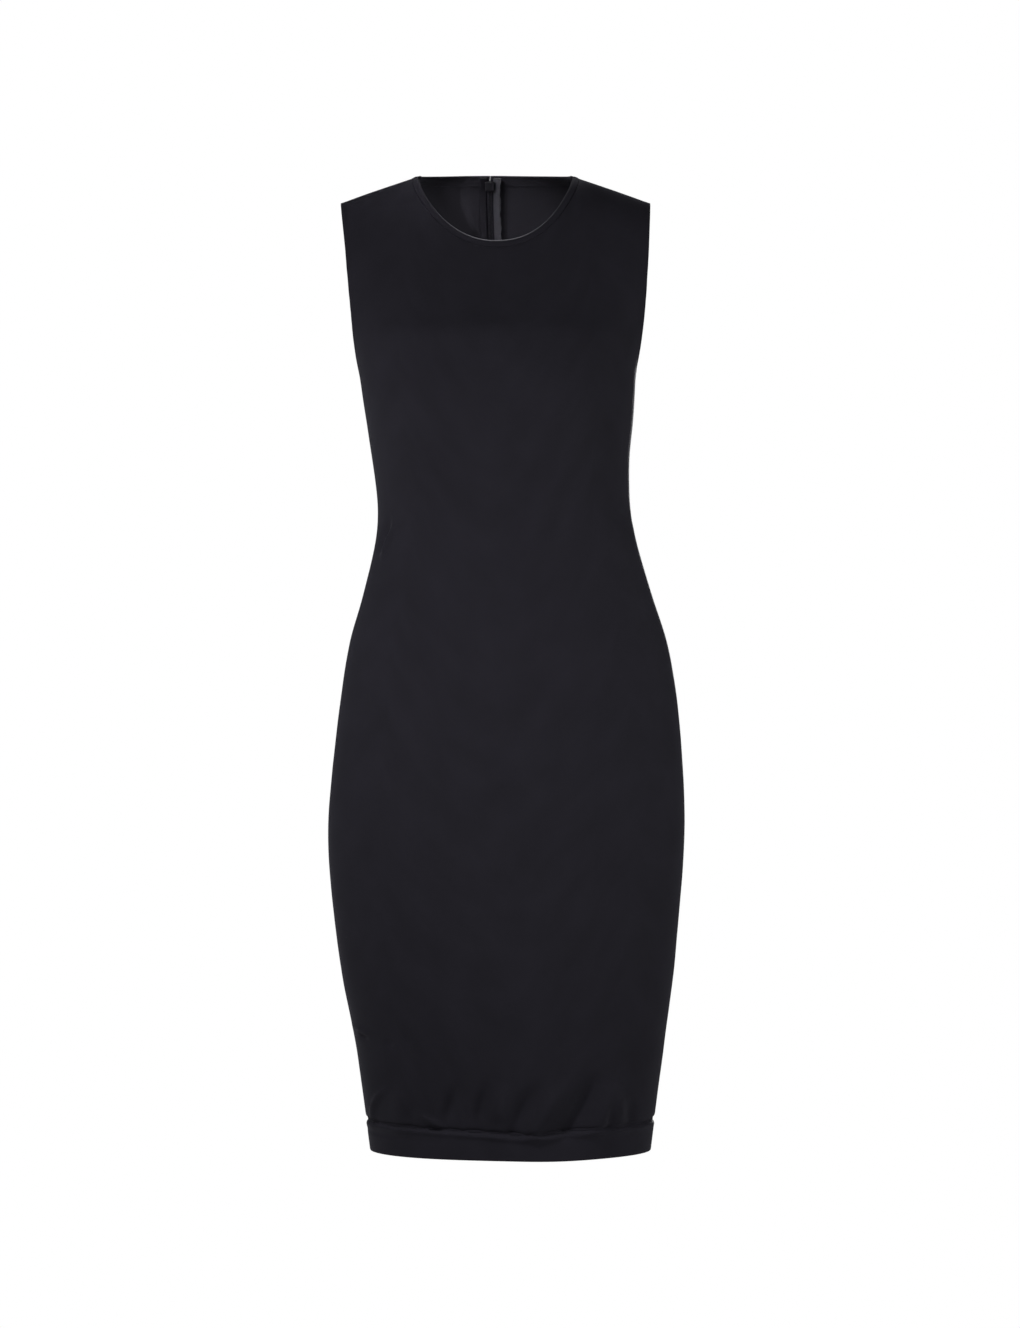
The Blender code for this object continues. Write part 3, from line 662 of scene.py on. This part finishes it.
def allowance(before, past, reach=ALLOWANCE, thick=ALLOWANCE_THICK):
    """A strip on the inside of the cloth, from just before a seam to its reach past it.

    before and past are (side, across, drop) grids of stations that run away from the seam."""
    near, near_normals = cloth(*before)
    far, far_normals = cloth(*past)
    points = np.concatenate([near[:, :0:-1], far], 1)
    normals = np.concatenate([near_normals[:, :0:-1], far_normals], 1)
    run = lengths(points, 1) - lengths(near, 1)[:, -1:]
    steps = reach * ALLOWANCE_STEPS
    outer = np.empty((len(points), len(steps), 3))
    inner = np.empty_like(outer)
    station = lengths(far[:, :1], 0)[:, 0]
    for i, (line, ways, at) in enumerate(zip(points, normals, run)):
        ragged = 1 + wavy(station[i], RAGGED_WAVES)
        spots = np.where(steps > 0, steps * ragged, steps)
        place = at_distances(spots, at, line)
        way = unit(at_distances(spots, at, ways))
        lift = thick * raised(spots / reach, OVERLOCK)
        ends = np.where(np.isin(steps, steps[[0, -1]]), THIN_EDGE, 0.0)
        outer[i] = place - way * (ALLOWANCE_DEEP + ends)[:, None]
        inner[i] = place - way * (ALLOWANCE_DEEP + thick + lift - ends)[:, None]
    weave = np.stack(np.broadcast_arrays(station[:, None], -steps[None, :]), -1)
    return Layer(outer, inner, weave)


def armhole_edges():
    """Points along each armhole's front and back edge."""
    levels = np.linspace(0, 1, 400)[::2]
    edges = []
    for side in (FRONT, BACK):
        for end in (-1.0, 1.0):
            across, drop = yoke(side, np.full_like(levels, end), levels)
            edges.append(skin(side, across, drop)[0])
    return edges


ARMHOLES = armhole_edges()


def from_armhole(points):
    """Distance of each point from the nearest armhole edge."""
    distance = np.full(points.shape[:-1], FAR)
    near = points[..., 2] > NECK_Z - UNDERARM_DROP - ARMHOLE_MARGIN
    spots = points[near]
    found = np.full(len(spots), FAR)
    for edge in ARMHOLES:
        for part in np.array_split(np.arange(len(spots)), BATCHES):
            away = spots[part][:, None, :] - edge[None, :, :]
            found[part] = np.minimum(found[part], np.sqrt((away**2).sum(-1).min(1)))
    distance[near] = found
    return distance


# --- materials ---


class Tree:
    """A material's nodes, added one at a time with their inputs."""

    def __init__(self, name):
        self.material = bpy.data.materials.new(name)
        self.material.use_nodes = True
        self.nodes = self.material.node_tree.nodes
        self.links = self.material.node_tree.links
        self.shader = self.nodes["Principled BSDF"]

    def put(self, socket, value):
        if isinstance(value, bpy.types.NodeSocket):
            self.links.new(value, socket)
        else:
            socket.default_value = value

    def fix(self, name, value):
        """A constant on the shader's own socket."""
        self.shader.inputs[name].default_value = value

    def add(self, kind, *values, settings=None, **inputs):
        """A node. Its inputs are given in their order, or by their names."""
        node = self.nodes.new("ShaderNode" + kind)
        for key, value in (settings or {}).items():
            setattr(node, key, value)
        for key, value in [*enumerate(values), *inputs.items()]:
            self.put(node.inputs[key], value)
        return node

    def math(self, operation, *values):
        return self.add("Math", *values, settings={"operation": operation}).outputs[0]

    def wave(self, length, pitch):
        """A sine wave along a length, -1 to 1, one for each pitch."""
        return self.math("SINE", self.math("MULTIPLY", length, 2 * math.pi / pitch))

    def noise(self, vector, scale, detail=2.0):
        found = self.add("TexNoise", Vector=vector, Scale=scale, Detail=detail)
        return found.outputs["Fac"]

    def ramp(self, value, low, high, to_low, to_high):
        return self.add("MapRange", value, low, high, to_low, to_high).outputs[0]

    def mixed(self, blend, share, first, second):
        """One colour mixed with another."""
        node = self.add("Mix", share, settings={"data_type": "RGBA", "blend_type": blend})
        self.put(node.inputs[6], first)
        self.put(node.inputs[7], second)
        return node.outputs[2]

    def shaded(self, colour, shade):
        """A colour times a shade of grey."""
        grey = self.add("CombineXYZ", shade, shade, shade)
        return self.mixed("MULTIPLY", 1.0, (*colour, 1.0), grey.outputs[0])

    def weave(self):
        """The weave's place, across and along the cloth, in metres."""
        place = self.add("UVMap", settings={"uv_map": "weave"}).outputs[0]
        split = self.add("SeparateXYZ", place)
        return place, split.outputs[0], split.outputs[1]

    def finish(self, colour, roughness, relief, strength, height, level):
        """The shader's inputs that every piece of the dress has, and its bump."""
        self.put(self.shader.inputs["Base Color"], colour)
        self.put(self.shader.inputs["Roughness"], roughness)
        self.fix("Specular IOR Level", level)
        bump = self.add("Bump", Strength=strength, Distance=height, Height=relief)
        self.put(self.shader.inputs["Normal"], bump.outputs[0])
        return self.material


def knit_material(name, colour, slanting):
    """Jersey: upright ribs of slanting loops on its face, level rows of loops on its reverse."""
    tree = Tree(name)
    weave, across, along = tree.weave()
    wale = tree.math("ABSOLUTE", tree.wave(across, WALE_PITCH))
    slant = tree.math("MULTIPLY", wale, slanting)
    along = tree.math("MULTIPLY", along, 2 * math.pi / COURSE_PITCH)
    course = tree.math("SINE", tree.math("ADD", along, slant))
    loops = tree.math("MULTIPLY", wale, tree.ramp(course, -1.0, 1.0, 0.35, 1.0))
    blotch = tree.ramp(tree.noise(weave, 26.0, 3.0), 0.3, 0.7, 0.90, 1.10)
    fuzz = tree.noise(weave, 900.0, 3.0)
    shade = tree.math("MULTIPLY", blotch, tree.ramp(loops, 0.0, 1.0, 0.78, 1.12))
    specks = tree.add("TexVoronoi", Vector=weave, Scale=11.0, Randomness=1.0)
    speck = tree.ramp(specks.outputs["Distance"], 0.0035, 0.0075, 1.0, 0.0)
    speck = tree.math("MULTIPLY", speck, 0.5)
    tone = tree.mixed("MIX", speck, tree.shaded(colour, shade), LINT)
    tree.fix("Sheen Weight", 0.06)
    tree.fix("Sheen Roughness", 0.45)
    tree.fix("Sheen Tint", (0.86, 0.86, 1.0, 1.0))
    relief = tree.math("ADD", loops, tree.math("MULTIPLY", fuzz, 0.8))
    rough = tree.ramp(fuzz, 0.3, 0.7, 0.82, 0.95)
    return tree.finish(tone, rough, relief, 0.35, 0.10 * MM, 0.12)


def tape_material(name, colour, level):
    """Woven tape: ribs across it, cut up by the threads that run along it."""
    tree = Tree(name)
    weave, across, along = tree.weave()
    cross = tree.math("MULTIPLY", tree.wave(along, RIB_PITCH), tree.wave(across, WARP_PITCH))
    fuzz = tree.noise(weave, 700.0)
    thread = tree.ramp(cross, -1.0, 1.0, 0.8, 1.15)
    shade = tree.math("MULTIPLY", thread, tree.ramp(fuzz, 0.3, 0.7, 0.85, 1.15))
    rough = tree.ramp(fuzz, 0.3, 0.7, 0.45, 0.6)
    return tree.finish(tree.shaded(colour, shade), rough, cross, 0.5, 0.12 * MM, level)


def plain_material(name, colour, roughness, metallic, spread, scale, level):
    """Moulded or painted: slight uneven tone, roughness and relief."""
    tree = Tree(name)
    place = tree.add("TexCoord").outputs["Object"]
    shade = tree.ramp(tree.noise(place, scale), 0.3, 0.7, 1 - spread, 1 + spread)
    fine = tree.noise(place, scale * 6)
    rough = tree.ramp(fine, 0.3, 0.7, roughness * 0.85, roughness * 1.15)
    tree.fix("Metallic", metallic)
    return tree.finish(tree.shaded(colour, shade), rough, fine, 0.2, 0.02 * MM, level)


WALE_PITCH = 1.7 * MM
COURSE_PITCH = 0.75 * MM
RIB_PITCH = 0.7 * MM
WARP_PITCH = 0.9 * MM
LINT = (0.11, 0.11, 0.12, 1.0)
KNIT = knit_material("black_knit", (0.0124, 0.0115, 0.0164), 1.1)
# The hem band's knit is a lighter copy of the knit, painted light that brightens the band.
BAND_KNIT_PAINTED_LIGHT = knit_material("black_knit_band_painted_light", (0.0145, 0.0135, 0.0191), 1.1)
# The knit's reverse is lighter than its face: partly its own greyer back, partly painted light that
# brightens the hollow inside the back at the neck.
REVERSE_WITH_PAINTED_LIGHT = knit_material("black_knit_reverse_with_painted_light", (0.0190, 0.0178, 0.0235), 0.2)
# Two copies of one woven tape material: the wearer's left tape is painted lighter (painted light)
# and the right tape painted darker (painted shade).
TAPE = {
    -1: tape_material("zip_tape_right_painted_shade", (0.0140, 0.0131, 0.0180), 0.1),
    1: tape_material("zip_tape_left_painted_light", (0.0400, 0.0385, 0.0480), 0.3),
}
NYLON = plain_material("zip_nylon", (0.0085, 0.0078, 0.0115), 0.42, 0.0, 0.15, 900.0, 0.2)
ENAMEL = plain_material("zip_enamel", (0.0130, 0.0122, 0.0165), 0.44, 0.2, 0.2, 700.0, 0.4)
PAINT = plain_material("tab_paint", (0.0130, 0.0122, 0.0165), 0.62, 0.0, 0.2, 700.0, 0.15)
THREAD = plain_material("thread", (0.0260, 0.0248, 0.0320), 0.75, 0.0, 0.2, 1500.0, 0.25)


# --- the cloth pieces ---


def side_allowance(end):
    """Of the front's side seam, pressed to the back."""
    drops = skirt_drops()
    drops = drops[drops < HEM_SEAM_DROP - HEM_SEAM_BOW - 0.001][2::2, None]
    column = lambda reach: end * (1 - reach * SEAM_SAMPLES**2)
    return allowance(
        (FRONT, ring(column(0.010), drops), drops + 0 * SEAM_SAMPLES),
        (BACK, ring(column(0.075), drops), drops + 0 * SEAM_SAMPLES),
    )


def shoulder_allowance(end):
    """Of the front's shoulder seam, pressed to the back."""
    columns = end * np.linspace(NECK_POINT_COLUMN + 0.01, 0.985, 24)[:, None]
    return allowance(
        (FRONT, *yoke(FRONT, columns, 0.02 * SEAM_SAMPLES)),
        (BACK, *yoke(BACK, columns, 0.10 * SEAM_SAMPLES)),
    )


def middle_allowance():
    """Of the centre back seam below the zip, pressed to the wearer's left."""
    drops = skirt_drops()
    drops = drops[drops > ZIP_END_DROP - 0.02][:-2, None]
    column = lambda reach: ZIP_COLUMN + reach * SEAM_SAMPLES
    return allowance(
        (BACK, ring(column(-0.02), drops), drops + 0 * SEAM_SAMPLES),
        (BACK, ring(column(0.09), drops), drops + 0 * SEAM_SAMPLES),
    )


def hem_allowance(side):
    """Of the hem band's seam, pressed up."""
    columns = np.linspace(-0.998, 0.998, 150)[:, None]
    down = hem_seam(side, columns) + 0.002 * SEAM_SAMPLES
    up = hem_seam(side, columns) - 0.011 * SEAM_SAMPLES
    return allowance((side, ring(columns, down), down), (side, ring(columns, up), up))


def make_panel(name, side, start, end, allowances):
    columns = columns_between(start, end)
    across, drop = panel_places(side, columns)
    points, normals = cloth(side, across, drop)
    down = lengths(points, 1)
    aside = lengths(points, 0)
    arm = from_armhole(points)
    below = np.clip((drop - UNDERARM_DROP) / UNDERARM_FADE, 0, 1)
    on_side = lambda column: below if abs(column) == 1 else 1.0
    past_neck = np.clip((np.abs(columns[:, None]) - NECK_POINT_COLUMN) / NECK_POINT_FADE, 0, 1)
    dip = (NECK_SEAM_DIP + (1 - NECK_SEAM_DIP) * past_neck) * seam_dip(down, across)
    dip = dip + seam_dip(down[:, -1:] - down, across, HEM_DIP, HEM_ROLL)
    dip = dip + seam_dip(aside, drop) * on_side(start)
    dip = dip + seam_dip(aside[-1:] - aside, drop) * on_side(end)
    past_turn = (arm - TURNED_WIDTH + TURNED_STEP_BEFORE) / TURNED_STEP
    turned = TURNED_THICK * (1 - np.clip(past_turn, 0, 1))
    stitched = raised(arm, ARMHOLE_STITCH)
    edge = rounded(arm, WALL / 2)
    outer = points + normals * (turned - dip - stitched - edge)[..., None]
    inner = points + normals * (edge - WALL - turned - PANEL_INNER_DIP * dip)[..., None]
    middle = np.argmin(np.abs(columns))
    weave = np.stack([aside - aside[middle], -down], -1)
    # Inside faces take the knit's reverse, lightened with painted light.
    return wall(name, [Layer(outer, inner, weave), *allowances], "knit", KNIT, REVERSE_WITH_PAINTED_LIGHT)


def make_band(name, side):
    """Doubled strip below the hem seam, folded at the bottom."""
    columns = columns_between(-1.0, 1.0)
    column = columns[:, None]
    top = hem_seam(side, column)
    lift = HEM_LIFT * np.abs(column) ** 3
    end = HEM_DROP + sagging(side, ring(column, HEM_DROP), HEM_SAG) - lift
    drop = top + (end - top) * BAND_LEVELS[None, :]
    across = ring(column, drop)
    points, normals = skin(side, across, drop)
    held = fold_height(side, across, np.minimum(drop, top)) * off_seams(points)
    held = held * np.exp((top - drop) / HEM_FOLD_FADE)
    points = points + normals * held[..., None]
    down = lengths(points, 1)
    up = down[:, -1:] - down
    aside = lengths(points, 0)
    ends = np.minimum(aside, aside[-1:] - aside)
    thick = BAND_PROUD + BAND_INSIDE
    loose = 1 + raised(across, HEM_LOOSE)
    puff = raised(down / loose, HEM_PUFF) * loose
    puff = puff * (1 - HEM_PUFF_FADE * column**HEM_PUFF_FADE_POWER)
    crease = raised(down - BAND_CREASE_SLOPE * aside, BAND_CREASE)
    crease = crease * raised(aside, BAND_CREASE_ASIDE) * (side == FRONT)
    fold = rounded(up, thick / 2)
    dip = seam_dip(down, across, HEM_DIP, HEM_ROLL) + seam_dip(ends, drop)
    outer = points + normals * (BAND_PROUD + puff - crease - dip - fold)[..., None]
    inner = points + normals * (fold - BAND_INSIDE - BAND_INNER_DIP * dip)[..., None]
    weave = np.stack([aside, -down], -1)
    layers = [Layer(outer, inner, weave), hem_allowance(side)]
    # Both faces of the band take the lighter copy of the knit, as painted light.
    return wall(name, layers, "knit", BAND_KNIT_PAINTED_LIGHT, BAND_KNIT_PAINTED_LIGHT)


def neck_allowances():
    """Of the neck strip's seam, pressed down on to the panels, front and back."""
    zip_turn = ZIP_COLUMN / NECK_POINT_COLUMN
    for side, start, end in (
        (FRONT, -0.995, 0.995),
        (BACK, -0.995, zip_turn - ZIP_CLEAR_TURN),
        (BACK, zip_turn + ZIP_CLEAR_TURN, 0.995),
    ):
        turns = np.linspace(start, end, 60)[:, None]
        yield allowance(
            (side, *neckline(side, turns, BINDING_HEIGHT - 0.002 * SEAM_SAMPLES)),
            (side, *neckline(side, turns, BINDING_HEIGHT + 0.007 * SEAM_SAMPLES)),
            NECK_ALLOWANCE,
            NECK_ALLOWANCE_THICK,
        )


def make_binding():
    """Narrow strip round the neck edge, open at the zip."""
    zip_turn = ZIP_COLUMN / NECK_POINT_COLUMN
    fine = np.array(EDGE_STEPS) / NECK_ARC
    rightward = np.concatenate([[zip_turn], zip_turn - fine, np.linspace(-0.09, -0.985, 50)])
    leftward = np.concatenate([np.linspace(0.985, 0.0, 52), zip_turn + fine[::-1], [zip_turn]])
    stations = [(BACK, turn) for turn in rightward]
    stations += [(FRONT, turn) for turn in np.linspace(-1, 1, 121)]
    stations += [(BACK, turn) for turn in leftward]
    insets = BINDING_HEIGHT * BINDING_LEVELS
    lines, ways, acrosses = [], [], []
    for number, (side, turn) in enumerate(stations):
        sideways = {0: -GAP / 2, len(stations) - 1: GAP / 2}.get(number, 0.0)
        across, drop = neckline(side, np.full_like(insets, turn), insets)
        points, normals = cloth(side, across + sideways, drop)
        lines.append(points)
        ways.append(normals)
        acrosses.append(across)
    points, normals, across = np.array(lines), np.array(ways), np.array(acrosses)
    down = lengths(points, 1)
    aside = lengths(points, 0)
    ends = np.minimum(aside, aside[-1:] - aside)
    thick = BINDING_PROUD + BINDING_INSIDE
    fold = rounded(down, thick / 2)
    puff = raised(down, BINDING_PUFF)
    dip = BINDING_SEAM_DIP * seam_dip(down[:, -1:] - down, across)
    dip = dip + BINDING_END_DIP * seam_dip(ends, down)
    outer = points + normals * (BINDING_PROUD + puff - dip - fold)[..., None]
    inner = points + normals * (fold - BINDING_INSIDE - BINDING_INNER_DIP * dip)[..., None]
    weave = np.stack([aside, -down], -1)
    layers = [Layer(outer, inner, weave), *neck_allowances()]
    return wall("neck_edge", layers, "knit", KNIT, REVERSE_WITH_PAINTED_LIGHT)


turned_in = [make(end) for make in (side_allowance, shoulder_allowance) for end in (-1, 1)]
front = make_panel("front_cloth", FRONT, -1.0, 1.0, turned_in)
right = make_panel("back_cloth_right", BACK, -1.0, ZIP_COLUMN, [middle_allowance()])
left = make_panel("back_cloth_left", BACK, ZIP_COLUMN, 1.0, [])
hem_front = make_band("hem_front", FRONT)
hem_back = make_band("hem_back", BACK)
neck_edge = make_binding()
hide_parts("front_panel")
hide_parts("back_panel_right")
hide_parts("back_panel_left")
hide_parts("hem_band_front")
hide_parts("hem_band_back")
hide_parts("neck_binding")


# --- the zip ---


def zip_line(column):
    """Points and normals down the cloth at a column, from under the neck edge to the zip's end."""
    levels = eased(YOKE_COUNT)
    across, drop = yoke(BACK, np.full_like(levels, column), levels)
    skirt = np.linspace(UNDERARM_DROP, ZIP_END_DROP, ZIP_STEPS)[1:]
    top = neckline(BACK, column / NECK_POINT_COLUMN, TAPE_TOP)
    across = np.concatenate([[top[0]], across, ring(column, skirt)])
    drop = np.concatenate([[top[1]], drop, skirt])
    return cloth(BACK, across, drop)


ZIP_MIDDLE, ZIP_NORMALS = zip_line(ZIP_COLUMN)
ZIP_RUN = lengths(ZIP_MIDDLE, 0)
ZIP_SIDES = {way: zip_line(ZIP_COLUMN + way * ZIP_FACET)[0] for way in (-1, 1)}


def beside_zip(distances, aside, deep):
    """Points at distances down the zip, aside of its middle and deep under the cloth."""
    way = -1 if aside < 0 else 1
    out = unit(ZIP_SIDES[way] - ZIP_MIDDLE)
    line = ZIP_MIDDLE + out * abs(aside) - ZIP_NORMALS * deep
    return at_distances(distances, ZIP_RUN, line)


def make_tape(name, way):
    rows = np.linspace(0, ZIP_RUN[-1], TAPE_ROWS)
    outer, inner = [], []
    for share in TAPE_SHARES:
        thin = THIN_EDGE if share in (0.0, 1.0) else 0.0
        aside = way * (TAPE_INNER + (TAPE_OUTER - TAPE_INNER) * share)
        line = beside_zip(rows, aside, ZIP_DEEP + thin)
        under = beside_zip(rows, aside, ZIP_DEEP + TAPE_THICK - thin)
        out = unit(line - beside_zip(rows, 0.0, ZIP_DEEP + thin))
        lift = TAPE_LIFT[way] * share**TAPE_LIFT_POWER * (1 + wavy(rows, TAPE_LIFT_WAVES))
        lift = lift + share * wavy(rows, TAPE_RIPPLE_WAVES)
        edge = share * wavy(rows, TAPE_EDGE_WAVES[way])
        moved = out * edge[:, None] + unit(under - line) * lift[:, None]
        outer.append(line + moved)
        inner.append(under + moved)
    outer, inner = np.array(outer), np.array(inner)
    weave = np.stack([lengths(outer, 0), lengths(outer, 1)], -1)
    # Each tape takes its own copy of the tape material, the painted-light one or the painted-shade
    # one.
    return wall(name, [Layer(outer, inner, weave)], "zip_tape", TAPE[way], TAPE[way])


def capsules(name, starts, ends, ups, radius, flat, surface, sides=6):
    """Many small rounded rods joined in one mesh, each a little flattened."""
    turn = np.arange(sides) * 2 * np.pi / sides
    way = unit(ends - starts)
    up = unit(ups - way * (ups * way).sum(-1, keepdims=True))
    aside = np.cross(way, up)
    rings = []
    for share, size in ROD_RINGS:
        centre = starts + (ends - starts) * share
        circle = (
            aside[:, None] * np.cos(turn)[None, :, None]
            + up[:, None] * (flat * np.sin(turn))[None, :, None]
        )
        rings.append(centre[:, None] + circle * (radius * size))
    points = np.stack(rings, 1)
    count = len(starts)
    base = np.arange(count)[:, None] * (4 * sides)
    index = np.arange(4 * sides).reshape(4, sides)
    faces = []
    for k in range(3):
        a, b = index[k], index[k + 1]
        square = np.stack([a, np.roll(a, -1), np.roll(b, -1), b], -1)
        faces += [(base + face).tolist() for face in square]
    faces = [face for group in faces for face in group]
    for k, step in ((0, -1), (3, 1)):
        faces += (base + index[k][::step]).tolist()
    mesh = bpy.data.meshes.new(name)
    mesh.from_pydata(points.reshape(-1, 3).tolist(), [], faces)
    return finished(name, mesh, "zip_coil", surface)


def zip_ups(rows, deep):
    return beside_zip(rows, 0.0, 0.0) - beside_zip(rows, 0.0, deep)


def make_coil():
    rows = np.arange(COIL_FIRST, ZIP_RUN[-1] - ZIP_END_MARGIN, COIL_PITCH)
    starts, ends, ups = [], [], []
    for way, phase in ((-1, 0.0), (1, 0.5)):
        here = rows + phase * COIL_PITCH
        starts.append(beside_zip(here, way * COIL_REACH, COIL_DEEP))
        ends.append(beside_zip(here, -way * COIL_PAST, COIL_DEEP + COIL_SLOPE))
        ups.append(zip_ups(here, COIL_DEEP))
    lines = [np.concatenate(group) for group in (starts, ends, ups)]
    return capsules("zip_coil_turns", *lines, COIL_RADIUS, COIL_FLAT, NYLON)


def make_stitches(name, way):
    """The row of stitches that holds the coil to a tape."""
    rows = np.arange(STITCH_FIRST, ZIP_RUN[-1] - ZIP_END_MARGIN, STITCH_PITCH)
    starts = beside_zip(rows, way * STITCH_ASIDE, STITCH_DEEP)
    ends = beside_zip(rows + STITCH_LENGTH, way * STITCH_ASIDE, STITCH_DEEP)
    ups = zip_ups(rows, STITCH_DEEP)
    capsules(name, starts, ends, ups, STITCH_RADIUS, STITCH_FLAT, THREAD, STITCH_SIDES)


tape_right = make_tape("zip_tape_r", -1)
tape_left = make_tape("zip_tape_l", 1)
coil = make_coil()
make_stitches("zip_stitches_r", -1)
make_stitches("zip_stitches_l", 1)
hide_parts("zip_tape_right")
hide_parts("zip_tape_left")
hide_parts("zip_coil")

for node, surface in (("zip_slider", ENAMEL), ("zip_pull_tab", PAINT)):
    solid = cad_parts[node]
    solid.data.materials.clear()
    solid.data.materials.append(surface)


# --- stage, light and camera ---

FLOOR_Z = -1.40
FLOOR_RADIUS = 1.95
FLOOR_TONE = 0.12
FLOOR_GLOW = 0.44  # pale in every view, without pools of light
SURROUND = 0.01  # the world's strength, but for the camera
PHOTO_HEIGHT = 1328
PIXEL = 0.001  # of the photograph, in the plane y = 0
CAMERA_AWAY = 5.2
CAMERA_X = 0.0145
CAMERA_Z = NECK_Z - 0.487


def make_floor():
    mesh = bpy.data.meshes.new("floor")
    bm = bmesh.new()
    bmesh.ops.create_circle(bm, cap_ends=True, segments=128, radius=FLOOR_RADIUS)
    bm.to_mesh(mesh)
    bm.free()
    tree = Tree("pale_floor")
    tree.fix("Base Color", (*[FLOOR_TONE] * 3, 1.0))
    tree.fix("Roughness", 0.9)
    tree.fix("Emission Color", (1.0, 1.0, 1.0, 1.0))
    tree.fix("Emission Strength", FLOOR_GLOW)
    mesh.materials.append(tree.material)
    floor = placed("floor", mesh)
    floor.location = (CAMERA_X, 0, FLOOR_Z)


def make_world():
    world = bpy.data.worlds.new("studio")
    bpy.context.scene.world = world
    world.use_nodes = True
    nodes, links = world.node_tree.nodes, world.node_tree.links
    background = nodes["Background"]
    background.inputs["Color"].default_value = (1.0, 1.0, 1.0, 1.0)
    seen = nodes.new("ShaderNodeLightPath")
    strength = nodes.new("ShaderNodeMapRange")
    strength.inputs[3].default_value = SURROUND
    strength.inputs[4].default_value = 1.0
    links.new(seen.outputs["Is Camera Ray"], strength.inputs[0])
    links.new(strength.outputs[0], background.inputs["Strength"])


Light = namedtuple("Light", "name place target size watts spread")
# Each points from its place to its target. key, front and right shape the body, skirt, skirt_right
# and hem the skirt, and neck and inside the hollow at the neck.
LIGHTS = (
    Light("key", (-1.99, -1.67, -1.50), (0, 0, -0.22), (0.7, 0.7), 1.84, 33),
    Light("front", (-1.27, -2.20, 0.73), (0, 0, -0.23), (0.7, 0.7), 1.29, 33),
    Light("right", (2.63, -0.96, -0.45), (0, 0, -0.30), (0.7, 0.7), 2.30, 39),
    Light("skirt", (-0.9, -1.2, 1.0), (0, 0, -1.01), (0.35, 0.35), 0.82, 30),
    Light("skirt_right", (2.5, -1.2, 0.1), (0, 0, -0.94), (0.6, 0.6), 0.30, 33),
    Light("hem", (0.5, -1.5, 1.0), (0, 0, -1.08), (0.3, 0.3), 0.16, 22),
    Light("neck", (0.08, 0.89, 1.47), (0, -0.06, -0.055), (0.05, 0.05), 0.140, 5),
    Light("inside", (-1.4, -1.5, 1.3), (-0.040, 0.05, -0.008), (0.14, 0.14), 0.043, 2.8),
    Light("back", (0.3, 3.2, -0.30), (0, 0, -0.45), (1.0, 1.6), 30, 60),
)


def make_light(light):
    lamp = bpy.data.lights.new(light.name, "AREA")
    lamp.shape = "RECTANGLE"
    lamp.size, lamp.size_y = light.size
    lamp.energy = light.watts
    lamp.spread = math.radians(light.spread)
    made = placed(light.name, lamp)
    made.location = light.place
    aim = Vector(light.target) - Vector(light.place)
    made.rotation_euler = aim.to_track_quat("-Z", "Y").to_euler()


def make_camera():
    data = bpy.data.cameras.new("camera")
    data.sensor_width = 36.0
    data.lens = data.sensor_width * CAMERA_AWAY / (PHOTO_HEIGHT * PIXEL)
    data.clip_end = 100.0
    made = placed("camera", data)
    made.location = (CAMERA_X, -CAMERA_AWAY, CAMERA_Z)
    made.rotation_euler = (math.pi / 2, 0, 0)
    bpy.context.scene.camera = made


make_floor()
make_world()
for light in LIGHTS:
    make_light(light)
make_camera()
bpy.context.scene.view_settings.view_transform = "Standard"
